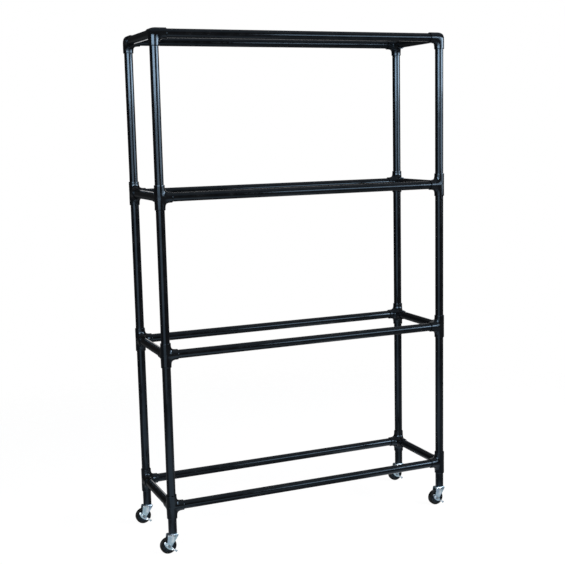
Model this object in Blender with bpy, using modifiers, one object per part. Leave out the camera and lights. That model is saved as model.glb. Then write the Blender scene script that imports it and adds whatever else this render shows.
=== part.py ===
"""Exercise ball rack: black plastic pipe posts and rails pushed into moulded tees and corner
elbows, four tiers high, standing on four braked swivel casters.

Run it with: blender --background --python part.py
Metres, +Z up, +X along the long side, +Y to the back. The origin is on the floor, in the
middle of the area that the rack covers with its casters trailing to the left.
"""
import math

import bmesh
import bpy
from mathutils import Matrix, Vector

# Rack: post centre to post centre, tier to tier, and the length of leg that shows
RACK_WIDTH = 1.192
RACK_DEPTH = 0.352
TIER_SPACING = 0.591
TIERS = 4
LEG_SHOWING = 0.058

# Pipe
PIPE_RADIUS = 0.0167
PIPE_WALL = 0.0034
PIPE_SIDES = 16

# Moulded fittings: hub centre to sleeve end, wall, fit on the pipe, and how far from the
# crossing pipe's surface a pipe stops inside the hub
FITTING_REACH = 0.046
SLEEVE_WALL = 0.0032
SLEEVE_FIT = 0.0003
PIPE_STOP_MARGIN = 0.0033
HUB_SHOULDER = 0.4
CLOSED_FACE_SHARE = 0.93

# Caster wheel
WHEEL_DIAMETER = 0.0635
WHEEL_SIDES = 20
TREAD_WIDTH = 0.020
TREAD_ROUNDING = 0.003
RIM_WIDTH = 0.0055
DISH_DEPTH = 0.003
DISH_SLOPE = 0.003
HUB_RADIUS = 0.009
HUB_PROUD = 0.0015

# Caster fork, axle and stem
TRAIL = 0.020
WHEEL_TO_CROWN = 0.0117
FORK_PLATE = 0.0025
FORK_BEND = 0.003
FORK_SIDE_GAP = 0.0006
CROWN_TOE = 0.0232
CROWN_HEEL = 0.0192
CROWN_ROUNDING = 0.006
FORK_EYE_RADIUS = 0.009
FORK_HEEL_DROP = 0.002
AXLE_RADIUS = 0.003
HEX_RADIUS = 0.0055
BOLT_HEAD_HEIGHT = 0.0027
NUT_HEIGHT = 0.004
RACE_RADIUS = 0.015
RACE_HEIGHT = 0.002
KINGPIN_HEAD_RADIUS = 0.008
KINGPIN_HEAD_HEIGHT = 0.004
STEM_RADIUS = 0.0055
STEM_LENGTH = 0.030
STEM_CHAMFER = 0.001
TURNED_SIDES = 16

# Socket plug pressed into the leg's lower end, which the stem turns in
PLUG_LENGTH = 0.036

# Clearances between pieces that move, or that lie face to face
RUNNING_CLEARANCE = 0.0003

# Side brake lever: a bowed plate that turns on the axle, outside the fork's front leg
LEVER_PLATE = 0.002
LEVER_EYE_RADIUS = 0.0075
LEVER_SWEEP_RADIUS = 0.0155
LEVER_LOBE_DISTANCE = 0.023
LEVER_LOBE_RADIUS = 0.005
LEVER_LOBE_ANGLE = 147.0
LEVER_TIP_DISTANCE = 0.0365
LEVER_TIP_WIDTH = 0.006
LEVER_TIP_ANGLE = -38.0
LEVER_JOGGLE_START = 0.024
LEVER_JOGGLE_LENGTH = 0.004
LEVER_JOGGLE_DEPTH = 0.0025

# Which way the casters trail, from +X towards +Y, as the rack stands after a push to the right
TRAIL_DIRECTION = 180.0

# Sizes that follow
SLEEVE_RADIUS = PIPE_RADIUS + SLEEVE_FIT + SLEEVE_WALL
PIPE_STOP = PIPE_RADIUS + PIPE_STOP_MARGIN
AXLE_HEIGHT = WHEEL_DIAMETER / 2
FORK_INNER = TREAD_WIDTH / 2 + HUB_PROUD + FORK_SIDE_GAP
FORK_OUTER = FORK_INNER + FORK_PLATE
CROWN_UNDERSIDE = WHEEL_DIAMETER + WHEEL_TO_CROWN
CROWN_TOP = CROWN_UNDERSIDE + FORK_PLATE
LEG_END = CROWN_TOP + RACE_HEIGHT + RUNNING_CLEARANCE
FIRST_TIER = LEG_END + LEG_SHOWING + FITTING_REACH
TOP_TIER = FIRST_TIER + (TIERS - 1) * TIER_SPACING
WHEEL_OVERHANG = TRAIL + WHEEL_DIAMETER / 2
FRAME_X = (WHEEL_OVERHANG - SLEEVE_RADIUS) / 2

BLACK = (0.012, 0.013, 0.015)
ZINC = (0.62, 0.65, 0.69)
TYRE = (0.010, 0.010, 0.011)

# Corner name, its side in X and in Y, and the turn about Z of a fitting made for front left
CORNERS = (
    ("front_left", -1, -1, 0.0),
    ("front_right", 1, -1, 90.0),
    ("back_right", 1, 1, 180.0),
    ("back_left", -1, 1, 270.0),
)


def clear_scene():
    for obj in list(bpy.data.objects):
        bpy.data.objects.remove(obj, do_unlink=True)


def new_collection(name):
    collection = bpy.data.collections.new(name)
    bpy.context.scene.collection.children.link(collection)
    return collection


def new_material(name, colour, roughness, metallic):
    material = bpy.data.materials.new(name)
    material.use_nodes = True
    shader = material.node_tree.nodes["Principled BSDF"]
    shader.inputs["Base Color"].default_value = (*colour, 1.0)
    shader.inputs["Roughness"].default_value = roughness
    shader.inputs["Metallic"].default_value = metallic
    return material


def new_object(name, mesh, collection, material=None):
    obj = bpy.data.objects.new(name, mesh)
    collection.objects.link(obj)
    if material:
        mesh.materials.append(material)
    return obj


def shade(mesh, sharp_angle=40.0):
    mesh.shade_smooth()
    mesh.set_sharp_from_angle(angle=math.radians(sharp_angle))


def evaluated_mesh(obj, name):
    """The object's mesh with its modifiers, or its curve's fill, made real and welded."""
    graph = bpy.context.evaluated_depsgraph_get()
    mesh = bpy.data.meshes.new_from_object(obj.evaluated_get(graph))
    mesh.name = name
    bm = bmesh.new()
    bm.from_mesh(mesh)
    bmesh.ops.remove_doubles(bm, verts=bm.verts, dist=1e-6)
    bm.to_mesh(mesh)
    bm.free()
    return mesh


def turned_mesh(name, profile, sides):
    """A solid of revolution about Z. The profile runs down its outer side, then back up."""
    points = [(radius, 0.0, height) for radius, height in profile]
    edges = [(i, (i + 1) % len(points)) for i in range(len(points))]
    mesh = bpy.data.meshes.new(name)
    mesh.from_pydata(points, edges, [])
    blank = new_object(name + "_blank", mesh, workshop)
    screw = blank.modifiers.new("turn", "SCREW")
    screw.steps = sides
    screw.render_steps = sides
    screw.use_merge_vertices = True
    screw.merge_threshold = 0.00001
    turned = evaluated_mesh(blank, name)
    bpy.data.objects.remove(blank)
    bpy.data.meshes.remove(mesh)
    return turned


def plate_mesh(name, outlines, thickness):
    """A flat plate in the XY plane from 2D outlines, the first its edge and the rest its holes."""
    curve = bpy.data.curves.new(name, "CURVE")
    curve.dimensions = "2D"
    curve.fill_mode = "BOTH"
    curve.extrude = thickness / 2
    for outline in outlines:
        spline = curve.splines.new("POLY")
        spline.points.add(len(outline) - 1)
        for point, (x, y) in zip(spline.points, outline):
            point.co = (x, y, 0.0, 1.0)
        spline.use_cyclic_u = True
    blank = bpy.data.objects.new(name + "_blank", curve)
    workshop.objects.link(blank)
    mesh = evaluated_mesh(blank, name)
    bpy.data.objects.remove(blank)
    bpy.data.curves.remove(curve)
    return mesh


def arc(centre, radius, start, end, steps):
    """Points on a circle from one angle to another, in degrees, both ends included."""
    found = []
    for i in range(steps + 1):
        angle = math.radians(start + (end - start) * i / steps)
        found.append((centre[0] + radius * math.cos(angle), centre[1] + radius * math.sin(angle)))
    return found


def combine(base, other, operation):
    """Applies one Boolean to the base's mesh and removes the other object."""
    boolean = base.modifiers.new("combine", "BOOLEAN")
    boolean.operation = operation
    boolean.object = other
    mesh = evaluated_mesh(base, base.data.name)
    base.modifiers.clear()
    base.data = mesh
    bpy.data.objects.remove(other)


def hub_vertex(sides, outlets, radius):
    """Where a vertex of the subdivided cube goes, so that every outlet's ring lies on its cylinder.

    sides is the vertex's place on the cube, -1, 0 or 1 on each axis. Between two outlets the
    vertex lies on the mitre where their cylinders meet. Elsewhere it lies on the back of a
    cylinder, or on the ball that rounds an outer corner. The middle of a closed face is set in,
    so that the skin doesn't bulge out of the cylinder there.
    """
    faces = [axis for axis in range(3) if sides[axis]]
    open_faces = [axis for axis in faces if (axis, sides[axis]) in outlets]
    closed_faces = [axis for axis in faces if axis not in open_faces]
    place = [0.0, 0.0, 0.0]
    for axis in faces:
        if len(faces) == 1:
            share = CLOSED_FACE_SHARE
        elif len(open_faces) > 1:
            share = 1 / math.sqrt(len(faces) - 1)
        elif axis in closed_faces:
            share = 1 / math.sqrt(len(closed_faces))
        else:
            share = HUB_SHOULDER
        place[axis] = sides[axis] * radius * share
    return place


def fitting_mesh(name, outlets):
    """The outer skin of a moulded fitting: a cube cage with a sleeve drawn out of each open face.

    The sleeves have eight cage sides. A subdivision surface draws them in by a known share, so
    the cage is that much wider than the finished sleeve.
    """
    cage_radius = SLEEVE_RADIUS * 3 / (2 + math.cos(math.pi / 4))
    bm = bmesh.new()
    bmesh.ops.create_cube(bm, size=2.0)
    bmesh.ops.subdivide_edges(bm, edges=bm.edges[:], cuts=1, use_grid_fill=True)
    place_on_cube = {vertex: tuple(round(c) for c in vertex.co) for vertex in bm.verts}
    rings = {}
    for axis, side in outlets:
        centre = next(
            v for v, p in place_on_cube.items() if p[axis] == side and sum(map(abs, p)) == 1
        )
        rings[axis, side] = [v for v, p in place_on_cube.items() if p[axis] == side and v is not centre]
        del place_on_cube[centre]
        bmesh.ops.delete(bm, geom=[centre], context="VERTS")
    for (axis, side), ring in rings.items():
        members = set(ring)
        edges = [e for e in bm.edges if e.verts[0] in members and e.verts[1] in members]
        for a, b in missing_ring_edges(ring, edges, place_on_cube, axis):
            edges.append(bm.edges.new((a, b)))
        around = {}
        for vertex in ring:
            across = [c if i != axis else 0 for i, c in enumerate(place_on_cube[vertex])]
            direction = Vector(across).normalized() * cage_radius
            direction[axis] = side * FITTING_REACH
            around[vertex] = bm.verts.new(direction)
        for edge in edges:
            a, b = edge.verts
            bm.faces.new((a, b, around[b], around[a]))
    for vertex, sides in place_on_cube.items():
        vertex.co = hub_vertex(sides, outlets, cage_radius)
    bmesh.ops.recalc_face_normals(bm, faces=bm.faces)
    mesh = bpy.data.meshes.new(name)
    bm.to_mesh(mesh)
    bm.free()
    return mesh


def missing_ring_edges(ring, edges, place_on_cube, axis):
    """Pairs of neighbours on an outlet's ring whose edge went when both its faces were opened."""
    known = {frozenset(edge.verts) for edge in edges}
    found = []
    for i, a in enumerate(ring):
        for b in ring[i + 1 :]:
            step = sum(abs(p - q) for p, q in zip(place_on_cube[a], place_on_cube[b]))
            if step == 1 and frozenset((a, b)) not in known:
                found.append((a, b))
    return found


def add_fitting(name, mesh, place, turn):
    fitting = new_object(name, mesh, rack)
    fitting.location = place
    fitting.rotation_euler.z = math.radians(turn)
    fitting.parent = frame
    skin = fitting.modifiers.new("round", "SUBSURF")
    skin.levels = 1
    skin.render_levels = 1
    wall = fitting.modifiers.new("wall", "SOLIDIFY")
    wall.thickness = SLEEVE_WALL
    wall.offset = -1.0
    wall.use_even_offset = False
    return fitting


def pipe_mesh(name, length):
    """A length of pipe along Z, from z = 0."""
    bore = PIPE_RADIUS - PIPE_WALL
    profile = [(PIPE_RADIUS, length), (PIPE_RADIUS, 0.0), (bore, 0.0), (bore, length)]
    mesh = turned_mesh(name, profile, PIPE_SIDES)
    mesh.materials.append(plastic)
    shade(mesh)
    return mesh


def add_pipe(name, mesh, start, direction):
    """Puts a pipe with one end at start. direction is X, Y or Z."""
    pipe = new_object(name, mesh, rack)
    pipe.location = start
    pipe.rotation_euler = {
        "X": (0.0, math.pi / 2, 0.0),
        "Y": (-math.pi / 2, 0.0, 0.0),
        "Z": (0.0, 0.0, 0.0),
    }[direction]
    pipe.parent = frame
    return pipe


def leg_mesh():
    """The short pipe under a bottom tee, with the caster's socket plug in its lower end."""
    length = FIRST_TIER - PIPE_STOP - LEG_END
    bore = PIPE_RADIUS - PIPE_WALL
    socket = STEM_RADIUS + RUNNING_CLEARANCE
    profile = [
        (PIPE_RADIUS, length),
        (PIPE_RADIUS, 0.0),
        (socket, 0.0),
        (socket, PLUG_LENGTH),
        (bore, PLUG_LENGTH),
        (bore, length),
    ]
    mesh = turned_mesh("leg", profile, PIPE_SIDES)
    mesh.materials.append(plastic)
    shade(mesh)
    return mesh


def build_frame():
    tee = fitting_mesh("tee", {(0, 1), (1, 1), (2, 1), (2, -1)})
    elbow = fitting_mesh("corner_elbow", {(0, 1), (1, 1), (2, -1)})
    for mesh in (tee, elbow):
        mesh.materials.append(plastic)
        mesh.shade_smooth()
    post = pipe_mesh("post_pipe", TIER_SPACING - 2 * PIPE_STOP)
    rail = pipe_mesh("rail_pipe", RACK_WIDTH - 2 * PIPE_STOP)
    side_rail = pipe_mesh("side_rail_pipe", RACK_DEPTH - 2 * PIPE_STOP)
    leg = leg_mesh()

    for corner, side_x, side_y, turn in CORNERS:
        x = side_x * RACK_WIDTH / 2
        y = side_y * RACK_DEPTH / 2
        add_pipe("leg_" + corner, leg, (x, y, LEG_END), "Z")
        for tier in range(TIERS - 1):
            z = FIRST_TIER + tier * TIER_SPACING
            add_fitting(f"tee_{corner}_{tier + 1}", tee, (x, y, z), turn)
            add_pipe(f"post_{corner}_{tier + 1}", post, (x, y, z + PIPE_STOP), "Z")
        add_fitting("elbow_" + corner, elbow, (x, y, TOP_TIER), turn)

    for tier in range(TIERS):
        z = FIRST_TIER + tier * TIER_SPACING
        for row, side_y in (("front", -1), ("back", 1)):
            start = (-RACK_WIDTH / 2 + PIPE_STOP, side_y * RACK_DEPTH / 2, z)
            add_pipe(f"rail_{row}_{tier + 1}", rail, start, "X")
        for end, side_x in (("left", -1), ("right", 1)):
            start = (side_x * RACK_WIDTH / 2, -RACK_DEPTH / 2 + PIPE_STOP, z)
            add_pipe(f"side_rail_{end}_{tier + 1}", side_rail, start, "Y")


def wheel_mesh():
    """The wheel about Z. Its flats touch the circle of its diameter, so one lies on the floor."""
    rolling = WHEEL_DIAMETER / 2 / math.cos(math.pi / WHEEL_SIDES)
    rim = rolling - TREAD_ROUNDING
    dish_outer = rim - RIM_WIDTH
    half = TREAD_WIDTH / 2
    bore = AXLE_RADIUS + RUNNING_CLEARANCE + AXLE_RADIUS * (1 - math.cos(math.pi / WHEEL_SIDES))
    front = [
        (bore, half + HUB_PROUD),
        (HUB_RADIUS, half + HUB_PROUD),
        (HUB_RADIUS + DISH_SLOPE, half - DISH_DEPTH),
        (dish_outer, half - DISH_DEPTH),
        (rim, half),
        (rolling, half - TREAD_ROUNDING),
    ]
    back = [(radius, -height) for radius, height in reversed(front)]
    mesh = turned_mesh("caster_wheel", front + back, WHEEL_SIDES)
    mesh.transform(Matrix.Rotation(math.pi / WHEEL_SIDES, 4, "Z"))
    mesh.materials.append(tyre)
    shade(mesh)
    return mesh


def fork_section():
    """The fork's inverted U, with X across the wheel and Y up from the floor."""
    outer = FORK_BEND + FORK_PLATE
    bend_x = FORK_INNER - FORK_BEND
    bend_y = CROWN_UNDERSIDE - FORK_BEND
    steps = 3
    points = [(FORK_OUTER, 0.0)]
    points += arc((bend_x, bend_y), outer, 0.0, 90.0, steps)
    points += arc((-bend_x, bend_y), outer, 90.0, 180.0, steps)
    points += [(-FORK_OUTER, 0.0), (-FORK_INNER, 0.0)]
    points += arc((-bend_x, bend_y), FORK_BEND, 180.0, 90.0, steps)
    points += arc((bend_x, bend_y), FORK_BEND, 90.0, 0.0, steps)
    points.append((FORK_INNER, 0.0))
    return points


def tangent_angle(point, centre, radius, side):
    """The angle at which a line from the point touches the circle, on its left or right side."""
    across = point[0] - centre[0]
    up = point[1] - centre[1]
    spread = math.acos(radius / math.hypot(across, up))
    return math.degrees(math.atan2(up, across) + side * spread)


def fork_outline():
    """The fork seen from the side, with X away from the trailing wheel and Y up."""
    axle = (-TRAIL, AXLE_HEIGHT)
    above = CROWN_TOP + FORK_PLATE
    corner_height = CROWN_TOP - CROWN_ROUNDING
    toe_corner = (CROWN_ROUNDING - CROWN_TOE, corner_height)
    heel_corner = (CROWN_HEEL - CROWN_ROUNDING, corner_height)
    heel = (CROWN_HEEL, corner_height - FORK_HEEL_DROP)
    left = tangent_angle((-CROWN_TOE, corner_height), axle, FORK_EYE_RADIUS, 1)
    right = tangent_angle(heel, axle, FORK_EYE_RADIUS, -1)
    points = arc(axle, FORK_EYE_RADIUS, left, 360.0 + right, 8)
    points.append(heel)
    points += arc(heel_corner, CROWN_ROUNDING, 0.0, 75.0, 3)
    points += [(heel_corner[0], above), (toe_corner[0], above)]
    points += arc(toe_corner, CROWN_ROUNDING, 105.0, 180.0, 3)
    return points


def cylinder_mesh(name, radius, start, end, sides):
    """A cylinder along Y, between two places on it."""
    bm = bmesh.new()
    bmesh.ops.create_cone(
        bm, cap_ends=True, segments=sides, radius1=radius, radius2=radius, depth=end - start
    )
    bmesh.ops.rotate(bm, verts=bm.verts, matrix=Matrix.Rotation(math.pi / 2, 3, "X"))
    bmesh.ops.translate(bm, verts=bm.verts, vec=(0.0, (start + end) / 2, 0.0))
    mesh = bpy.data.meshes.new(name)
    bm.to_mesh(mesh)
    bm.free()
    return mesh


def fork_mesh():
    """The pressed fork with its kingpin, stem and axle bolt, about the swivel axis.

    The wheel trails towards -X. The front leg, where the brake lever turns, is at -Y.
    """
    upright = Matrix.Rotation(math.pi / 2, 4, "X")
    length = 2 * (CROWN_TOE + TRAIL + FORK_EYE_RADIUS)
    section = plate_mesh("caster_fork", [fork_section()], length)
    section.transform(Matrix.Rotation(math.pi / 2, 4, "Z") @ upright)
    fork = new_object("fork_blank", section, workshop)
    outline = plate_mesh("fork_outline", [fork_outline()], 4 * FORK_OUTER)
    outline.transform(upright)
    combine(fork, new_object("fork_outline", outline, workshop), "INTERSECT")

    stem_top = LEG_END + STEM_LENGTH
    kingpin_end = CROWN_UNDERSIDE - KINGPIN_HEAD_HEIGHT
    stem = turned_mesh(
        "fork_stem",
        [
            (0.0, stem_top),
            (STEM_RADIUS - STEM_CHAMFER, stem_top),
            (STEM_RADIUS, stem_top - STEM_CHAMFER),
            (STEM_RADIUS, CROWN_TOP + RACE_HEIGHT),
            (RACE_RADIUS - RACE_HEIGHT, CROWN_TOP + RACE_HEIGHT),
            (RACE_RADIUS, CROWN_TOP - FORK_PLATE / 2),
            (KINGPIN_HEAD_RADIUS, CROWN_TOP - FORK_PLATE / 2),
            (KINGPIN_HEAD_RADIUS, kingpin_end),
            (0.0, kingpin_end),
        ],
        TURNED_SIDES,
    )
    combine(fork, new_object("fork_stem", stem, workshop), "UNION")

    lever_outside = FORK_OUTER + LEVER_PLATE + 2 * RUNNING_CLEARANCE
    bolt_parts = (
        ("axle_shank", AXLE_RADIUS, -lever_outside - BOLT_HEAD_HEIGHT / 2, FORK_OUTER, TURNED_SIDES),
        ("axle_head", HEX_RADIUS, -lever_outside - BOLT_HEAD_HEIGHT, -lever_outside, 6),
        ("axle_nut", HEX_RADIUS, FORK_OUTER - FORK_PLATE / 2, FORK_OUTER + NUT_HEIGHT, 6),
    )
    for name, radius, start, end, sides in bolt_parts:
        mesh = cylinder_mesh(name, radius, start, end, sides)
        mesh.transform(Matrix.Translation((-TRAIL, 0.0, AXLE_HEIGHT)))
        combine(fork, new_object(name, mesh, workshop), "UNION")

    mesh = fork.data
    bpy.data.objects.remove(fork)
    mesh.materials.append(zinc)
    shade(mesh, 30.0)
    return mesh


def lever_outline():
    """The lever seen from the front, about the axle, with X to the right and Y up.

    It bows round under the axle from the foot lobe, up on the left, to the tip, low on the
    right, and has an eye for the axle on its inner side.
    """
    lobe = math.radians(LEVER_LOBE_ANGLE)
    lobe_centre = (LEVER_LOBE_DISTANCE * math.cos(lobe), LEVER_LOBE_DISTANCE * math.sin(lobe))
    tip = math.radians(LEVER_TIP_ANGLE)
    tip_ray = Vector((math.cos(tip), math.sin(tip)))
    tip_side = Vector((-tip_ray.y, tip_ray.x)) * LEVER_TIP_WIDTH / 2
    tip_end = tip_ray * LEVER_TIP_DISTANCE
    shoulder = tip_ray * (LEVER_SWEEP_RADIUS + LEVER_TIP_WIDTH / 2)

    points = arc(lobe_centre, LEVER_LOBE_RADIUS, LEVER_LOBE_ANGLE - 90, LEVER_LOBE_ANGLE + 90, 5)
    points += arc((0.0, 0.0), LEVER_SWEEP_RADIUS, 208.0, 360.0 + LEVER_TIP_ANGLE - 18, 5)
    points += [tuple(shoulder - tip_side), tuple(tip_end - tip_side), tuple(tip_end + tip_side)]
    points += [tuple(shoulder + tip_side)]
    points += arc((0.0, 0.0), LEVER_EYE_RADIUS, 10.0, 150.0, 5)
    return points


def lever_mesh():
    """The brake lever about the axle, with its outer face towards -Y and its tip set outwards."""
    hole = AXLE_RADIUS + RUNNING_CLEARANCE + AXLE_RADIUS * (1 - math.cos(math.pi / TURNED_SIDES))
    hole_outline = arc((0.0, 0.0), hole, 0.0, 360.0, TURNED_SIDES)[:-1]
    mesh = plate_mesh("brake_lever", [lever_outline(), hole_outline], LEVER_PLATE)
    mesh.transform(Matrix.Rotation(math.pi / 2, 4, "X"))
    middle = FORK_OUTER + RUNNING_CLEARANCE + LEVER_PLATE / 2
    mesh.transform(Matrix.Translation((0.0, -middle, 0.0)))

    tip = math.radians(LEVER_TIP_ANGLE)
    along = Vector((math.cos(tip), 0.0, math.sin(tip)))
    bm = bmesh.new()
    bm.from_mesh(mesh)
    joggle_end = LEVER_JOGGLE_START + LEVER_JOGGLE_LENGTH
    for distance in (LEVER_JOGGLE_START, joggle_end):
        bmesh.ops.bisect_plane(
            bm, geom=bm.verts[:] + bm.edges[:] + bm.faces[:], plane_co=along * distance, plane_no=along
        )
    for vertex in bm.verts:
        travelled = vertex.co.dot(along) - LEVER_JOGGLE_START
        share = min(max(travelled / LEVER_JOGGLE_LENGTH, 0.0), 1.0)
        vertex.co.y -= share * LEVER_JOGGLE_DEPTH
    bmesh.ops.triangulate(bm, faces=bm.faces)
    bm.to_mesh(mesh)
    bm.free()
    mesh.materials.append(zinc)
    shade(mesh, 30.0)
    return mesh


def build_casters():
    fork = fork_mesh()
    wheel = wheel_mesh()
    lever = lever_mesh()
    for corner, side_x, side_y, _ in CORNERS:
        swivel = bpy.data.objects.new("caster_" + corner, None)
        rack.objects.link(swivel)
        swivel.location = (side_x * RACK_WIDTH / 2, side_y * RACK_DEPTH / 2, 0.0)
        swivel.rotation_euler.z = math.radians(TRAIL_DIRECTION - 180.0)
        swivel.parent = frame

        fork_obj = new_object("caster_fork_" + corner, fork, rack)
        fork_obj.parent = swivel

        wheel_obj = new_object("caster_wheel_" + corner, wheel, rack)
        wheel_obj.location = (-TRAIL, 0.0, AXLE_HEIGHT)
        wheel_obj.rotation_euler.x = math.pi / 2
        wheel_obj.parent = swivel

        lever_obj = new_object("brake_lever_" + corner, lever, rack)
        lever_obj.location = (-TRAIL, 0.0, AXLE_HEIGHT)
        lever_obj.parent = swivel


clear_scene()
rack = new_collection("exercise_ball_rack")
workshop = new_collection("workshop")
plastic = new_material("black_pipe_plastic", BLACK, 0.28, 0.0)
zinc = new_material("bright_zinc", ZINC, 0.30, 1.0)
tyre = new_material("black_tyre", TYRE, 0.55, 0.0)
frame = bpy.data.objects.new("frame", None)
frame.location.x = FRAME_X
rack.objects.link(frame)
build_frame()
build_casters()
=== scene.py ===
# %% [markdown]
# # A rolling rack of black pipe
# Four black pipe posts carry four tiers of rails. Every joint is a moulded fitting that the
# pipes push into, and the rack rolls on four swivel casters with brakes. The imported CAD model
# is the frame of this scene: it says where each piece is, and the cells below give every piece
# its finished shape and surface.

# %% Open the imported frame
import math
from contextlib import contextmanager
from functools import partial

import bmesh
import bpy
from mathutils import Matrix, Vector


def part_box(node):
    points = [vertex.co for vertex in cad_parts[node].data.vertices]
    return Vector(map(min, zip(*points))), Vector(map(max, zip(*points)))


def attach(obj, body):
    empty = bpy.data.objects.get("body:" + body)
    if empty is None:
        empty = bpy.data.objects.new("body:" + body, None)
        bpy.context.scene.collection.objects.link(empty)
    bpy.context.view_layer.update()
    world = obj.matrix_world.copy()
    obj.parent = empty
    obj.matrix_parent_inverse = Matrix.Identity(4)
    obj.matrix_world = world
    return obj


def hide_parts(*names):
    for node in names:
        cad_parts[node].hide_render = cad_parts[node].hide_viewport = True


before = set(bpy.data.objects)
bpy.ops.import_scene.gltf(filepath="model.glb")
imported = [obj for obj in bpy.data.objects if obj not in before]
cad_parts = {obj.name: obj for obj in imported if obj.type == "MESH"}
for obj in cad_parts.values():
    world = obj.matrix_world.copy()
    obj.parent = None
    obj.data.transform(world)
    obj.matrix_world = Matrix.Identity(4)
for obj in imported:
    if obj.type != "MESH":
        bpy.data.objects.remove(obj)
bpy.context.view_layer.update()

# %% [markdown]
# ## Measure before making
# A learner's first habit: take places and sizes from the model that is already there. The
# pipe's radius, the posts' axes, the height of each tier and the place of each axle all come
# from the boxes of the CAD nodes, so the pieces follow the frame if it changes.

# %% Measure the posts, tiers and casters
CORNERS = ("front_left", "front_right", "back_right", "back_left")
FITTING_TURN = {corner: math.radians(90.0 * i) for i, corner in enumerate(CORNERS)}


def middle(node):
    """The centre of a CAD node's box."""
    low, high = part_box(node)
    return (low + high) / 2


def size(node):
    """The size of a CAD node's box."""
    low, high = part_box(node)
    return high - low


PIPE_RADIUS = size("post_front_left_1").x / 2
PIPE_WALL = 0.0034
FITTING_REACH = size("tee_front_left_1").z / 2
POSTS = {corner: middle("post_%s_1" % corner).xy for corner in CORNERS}
TIERS = [middle("rail_front_%d" % tier).z for tier in (1, 2, 3, 4)]
WHEEL_RADIUS = middle("caster_wheel_front_left").z
TRAIL = POSTS["front_left"].x - middle("caster_wheel_front_left").x
LEG_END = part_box("leg_front_left")[0].z
print("pipe radius", PIPE_RADIUS, "reach", FITTING_REACH, "tiers", TIERS, "trail", TRAIL)

# %% [markdown]
# ## Small tools
# Most pieces here are one of four kinds: a turned shape, a flat plate, a moulded skin, or a
# pattern that repeats round a circle. These helpers hold what the kinds share. `settled` turns
# modifiers into a plain mesh, because a finished piece carries no live Geometry Nodes.

# %% Mesh helpers
WELD_REACH = 0.000003
STRAIGHT_ON = -0.99999


def add_object(name, data):
    obj = bpy.data.objects.new(name, data)
    bpy.context.scene.collection.objects.link(obj)
    return obj


@contextmanager
def edited(mesh):
    """A mesh as a bmesh, which is written back when the block ends."""
    bm = bmesh.new()
    bm.from_mesh(mesh)
    yield bm
    bm.to_mesh(mesh)
    bm.free()


def splits_a_straight_edge(vertex):
    if len(vertex.link_edges) != 2:
        return False
    one, other = [(e.other_vert(vertex).co - vertex.co).normalized() for e in vertex.link_edges]
    return one.dot(other) < STRAIGHT_ON


def settled(obj, name):
    """The object's shape with its modifiers made real and its faces outwards. Points that lie on
    each other are joined, and those that only split a straight edge are dropped."""
    graph = bpy.context.evaluated_depsgraph_get()
    mesh = bpy.data.meshes.new_from_object(obj.evaluated_get(graph))
    mesh.name = name
    bpy.data.objects.remove(obj)
    with edited(mesh) as bm:
        bmesh.ops.remove_doubles(bm, verts=bm.verts, dist=WELD_REACH)
        bmesh.ops.dissolve_verts(bm, verts=[v for v in bm.verts if splits_a_straight_edge(v)])
        bmesh.ops.recalc_face_normals(bm, faces=bm.faces)
    return mesh


def joined(name, meshes):
    """One mesh from several, each kept as it is."""
    whole = bpy.data.meshes.new(name)
    with edited(whole) as bm:
        for mesh in meshes:
            bm.from_mesh(mesh)
    return whole


def kept_where(base, other, operation, name):
    """One Boolean between two meshes."""
    blank = add_object(name + "_blank", base)
    tool = add_object(name + "_tool", other)
    boolean = blank.modifiers.new("cut", "BOOLEAN")
    boolean.operation = operation
    boolean.object = tool
    mesh = settled(blank, name)
    bpy.data.objects.remove(tool)
    return mesh


def add_bevel(obj, width, least_angle):
    """Eases the edges that are sharper than an angle in degrees."""
    bevel = obj.modifiers.new("eased", "BEVEL")
    bevel.width = width
    bevel.segments = 2
    bevel.limit_method = "ANGLE"
    bevel.angle_limit = math.radians(least_angle)


def cut(bm, point, normal, reach):
    """Cuts along a plane. Points within reach of it count as lying on it."""
    whole = bm.verts[:] + bm.edges[:] + bm.faces[:]
    bmesh.ops.bisect_plane(bm, geom=whole, dist=reach, plane_co=point, plane_no=normal)


def mark(mesh, name, share):
    """Gives each point a share, as an attribute that a finish can read."""
    attribute = mesh.attributes.new(name, "FLOAT", "POINT")
    attribute.data.foreach_set("value", [share(vertex.co) for vertex in mesh.vertices])


def smooth(mesh, sharp_angle=35.0):
    mesh.shade_smooth()
    mesh.set_sharp_from_angle(angle=math.radians(sharp_angle))


print("mesh helpers ready")

# %% Outlines, turned shapes and plates
ON_AXIS = 1e-7
AXIS_MERGE = 0.00001
NEARLY_STRAIGHT = math.radians(87.0)
MOST_OF_EDGE = 0.42


def arc(centre, radius, start, end, steps):
    """Points on a circle from one angle to another, in degrees, both ends included."""
    found = []
    for i in range(steps + 1):
        angle = math.radians(start + (end - start) * i / steps)
        found.append((centre[0] + radius * math.cos(angle), centre[1] + radius * math.sin(angle)))
    return found


def circle(radius, sides):
    """Points all round a circle at the origin, the first on X."""
    return arc((0.0, 0.0), radius, 0.0, 360.0 * (sides - 1) / sides, sides - 1)


def swung(centre, spoke, sweep, steps):
    """The points that a spoke's end passes as it swings round a centre, both ends included."""
    found = []
    for i in range(steps + 1):
        turned_spoke = spoke.copy()
        turned_spoke.rotate(Matrix.Rotation(sweep * i / steps, 2))
        found.append(tuple(centre + turned_spoke))
    return found


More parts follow.
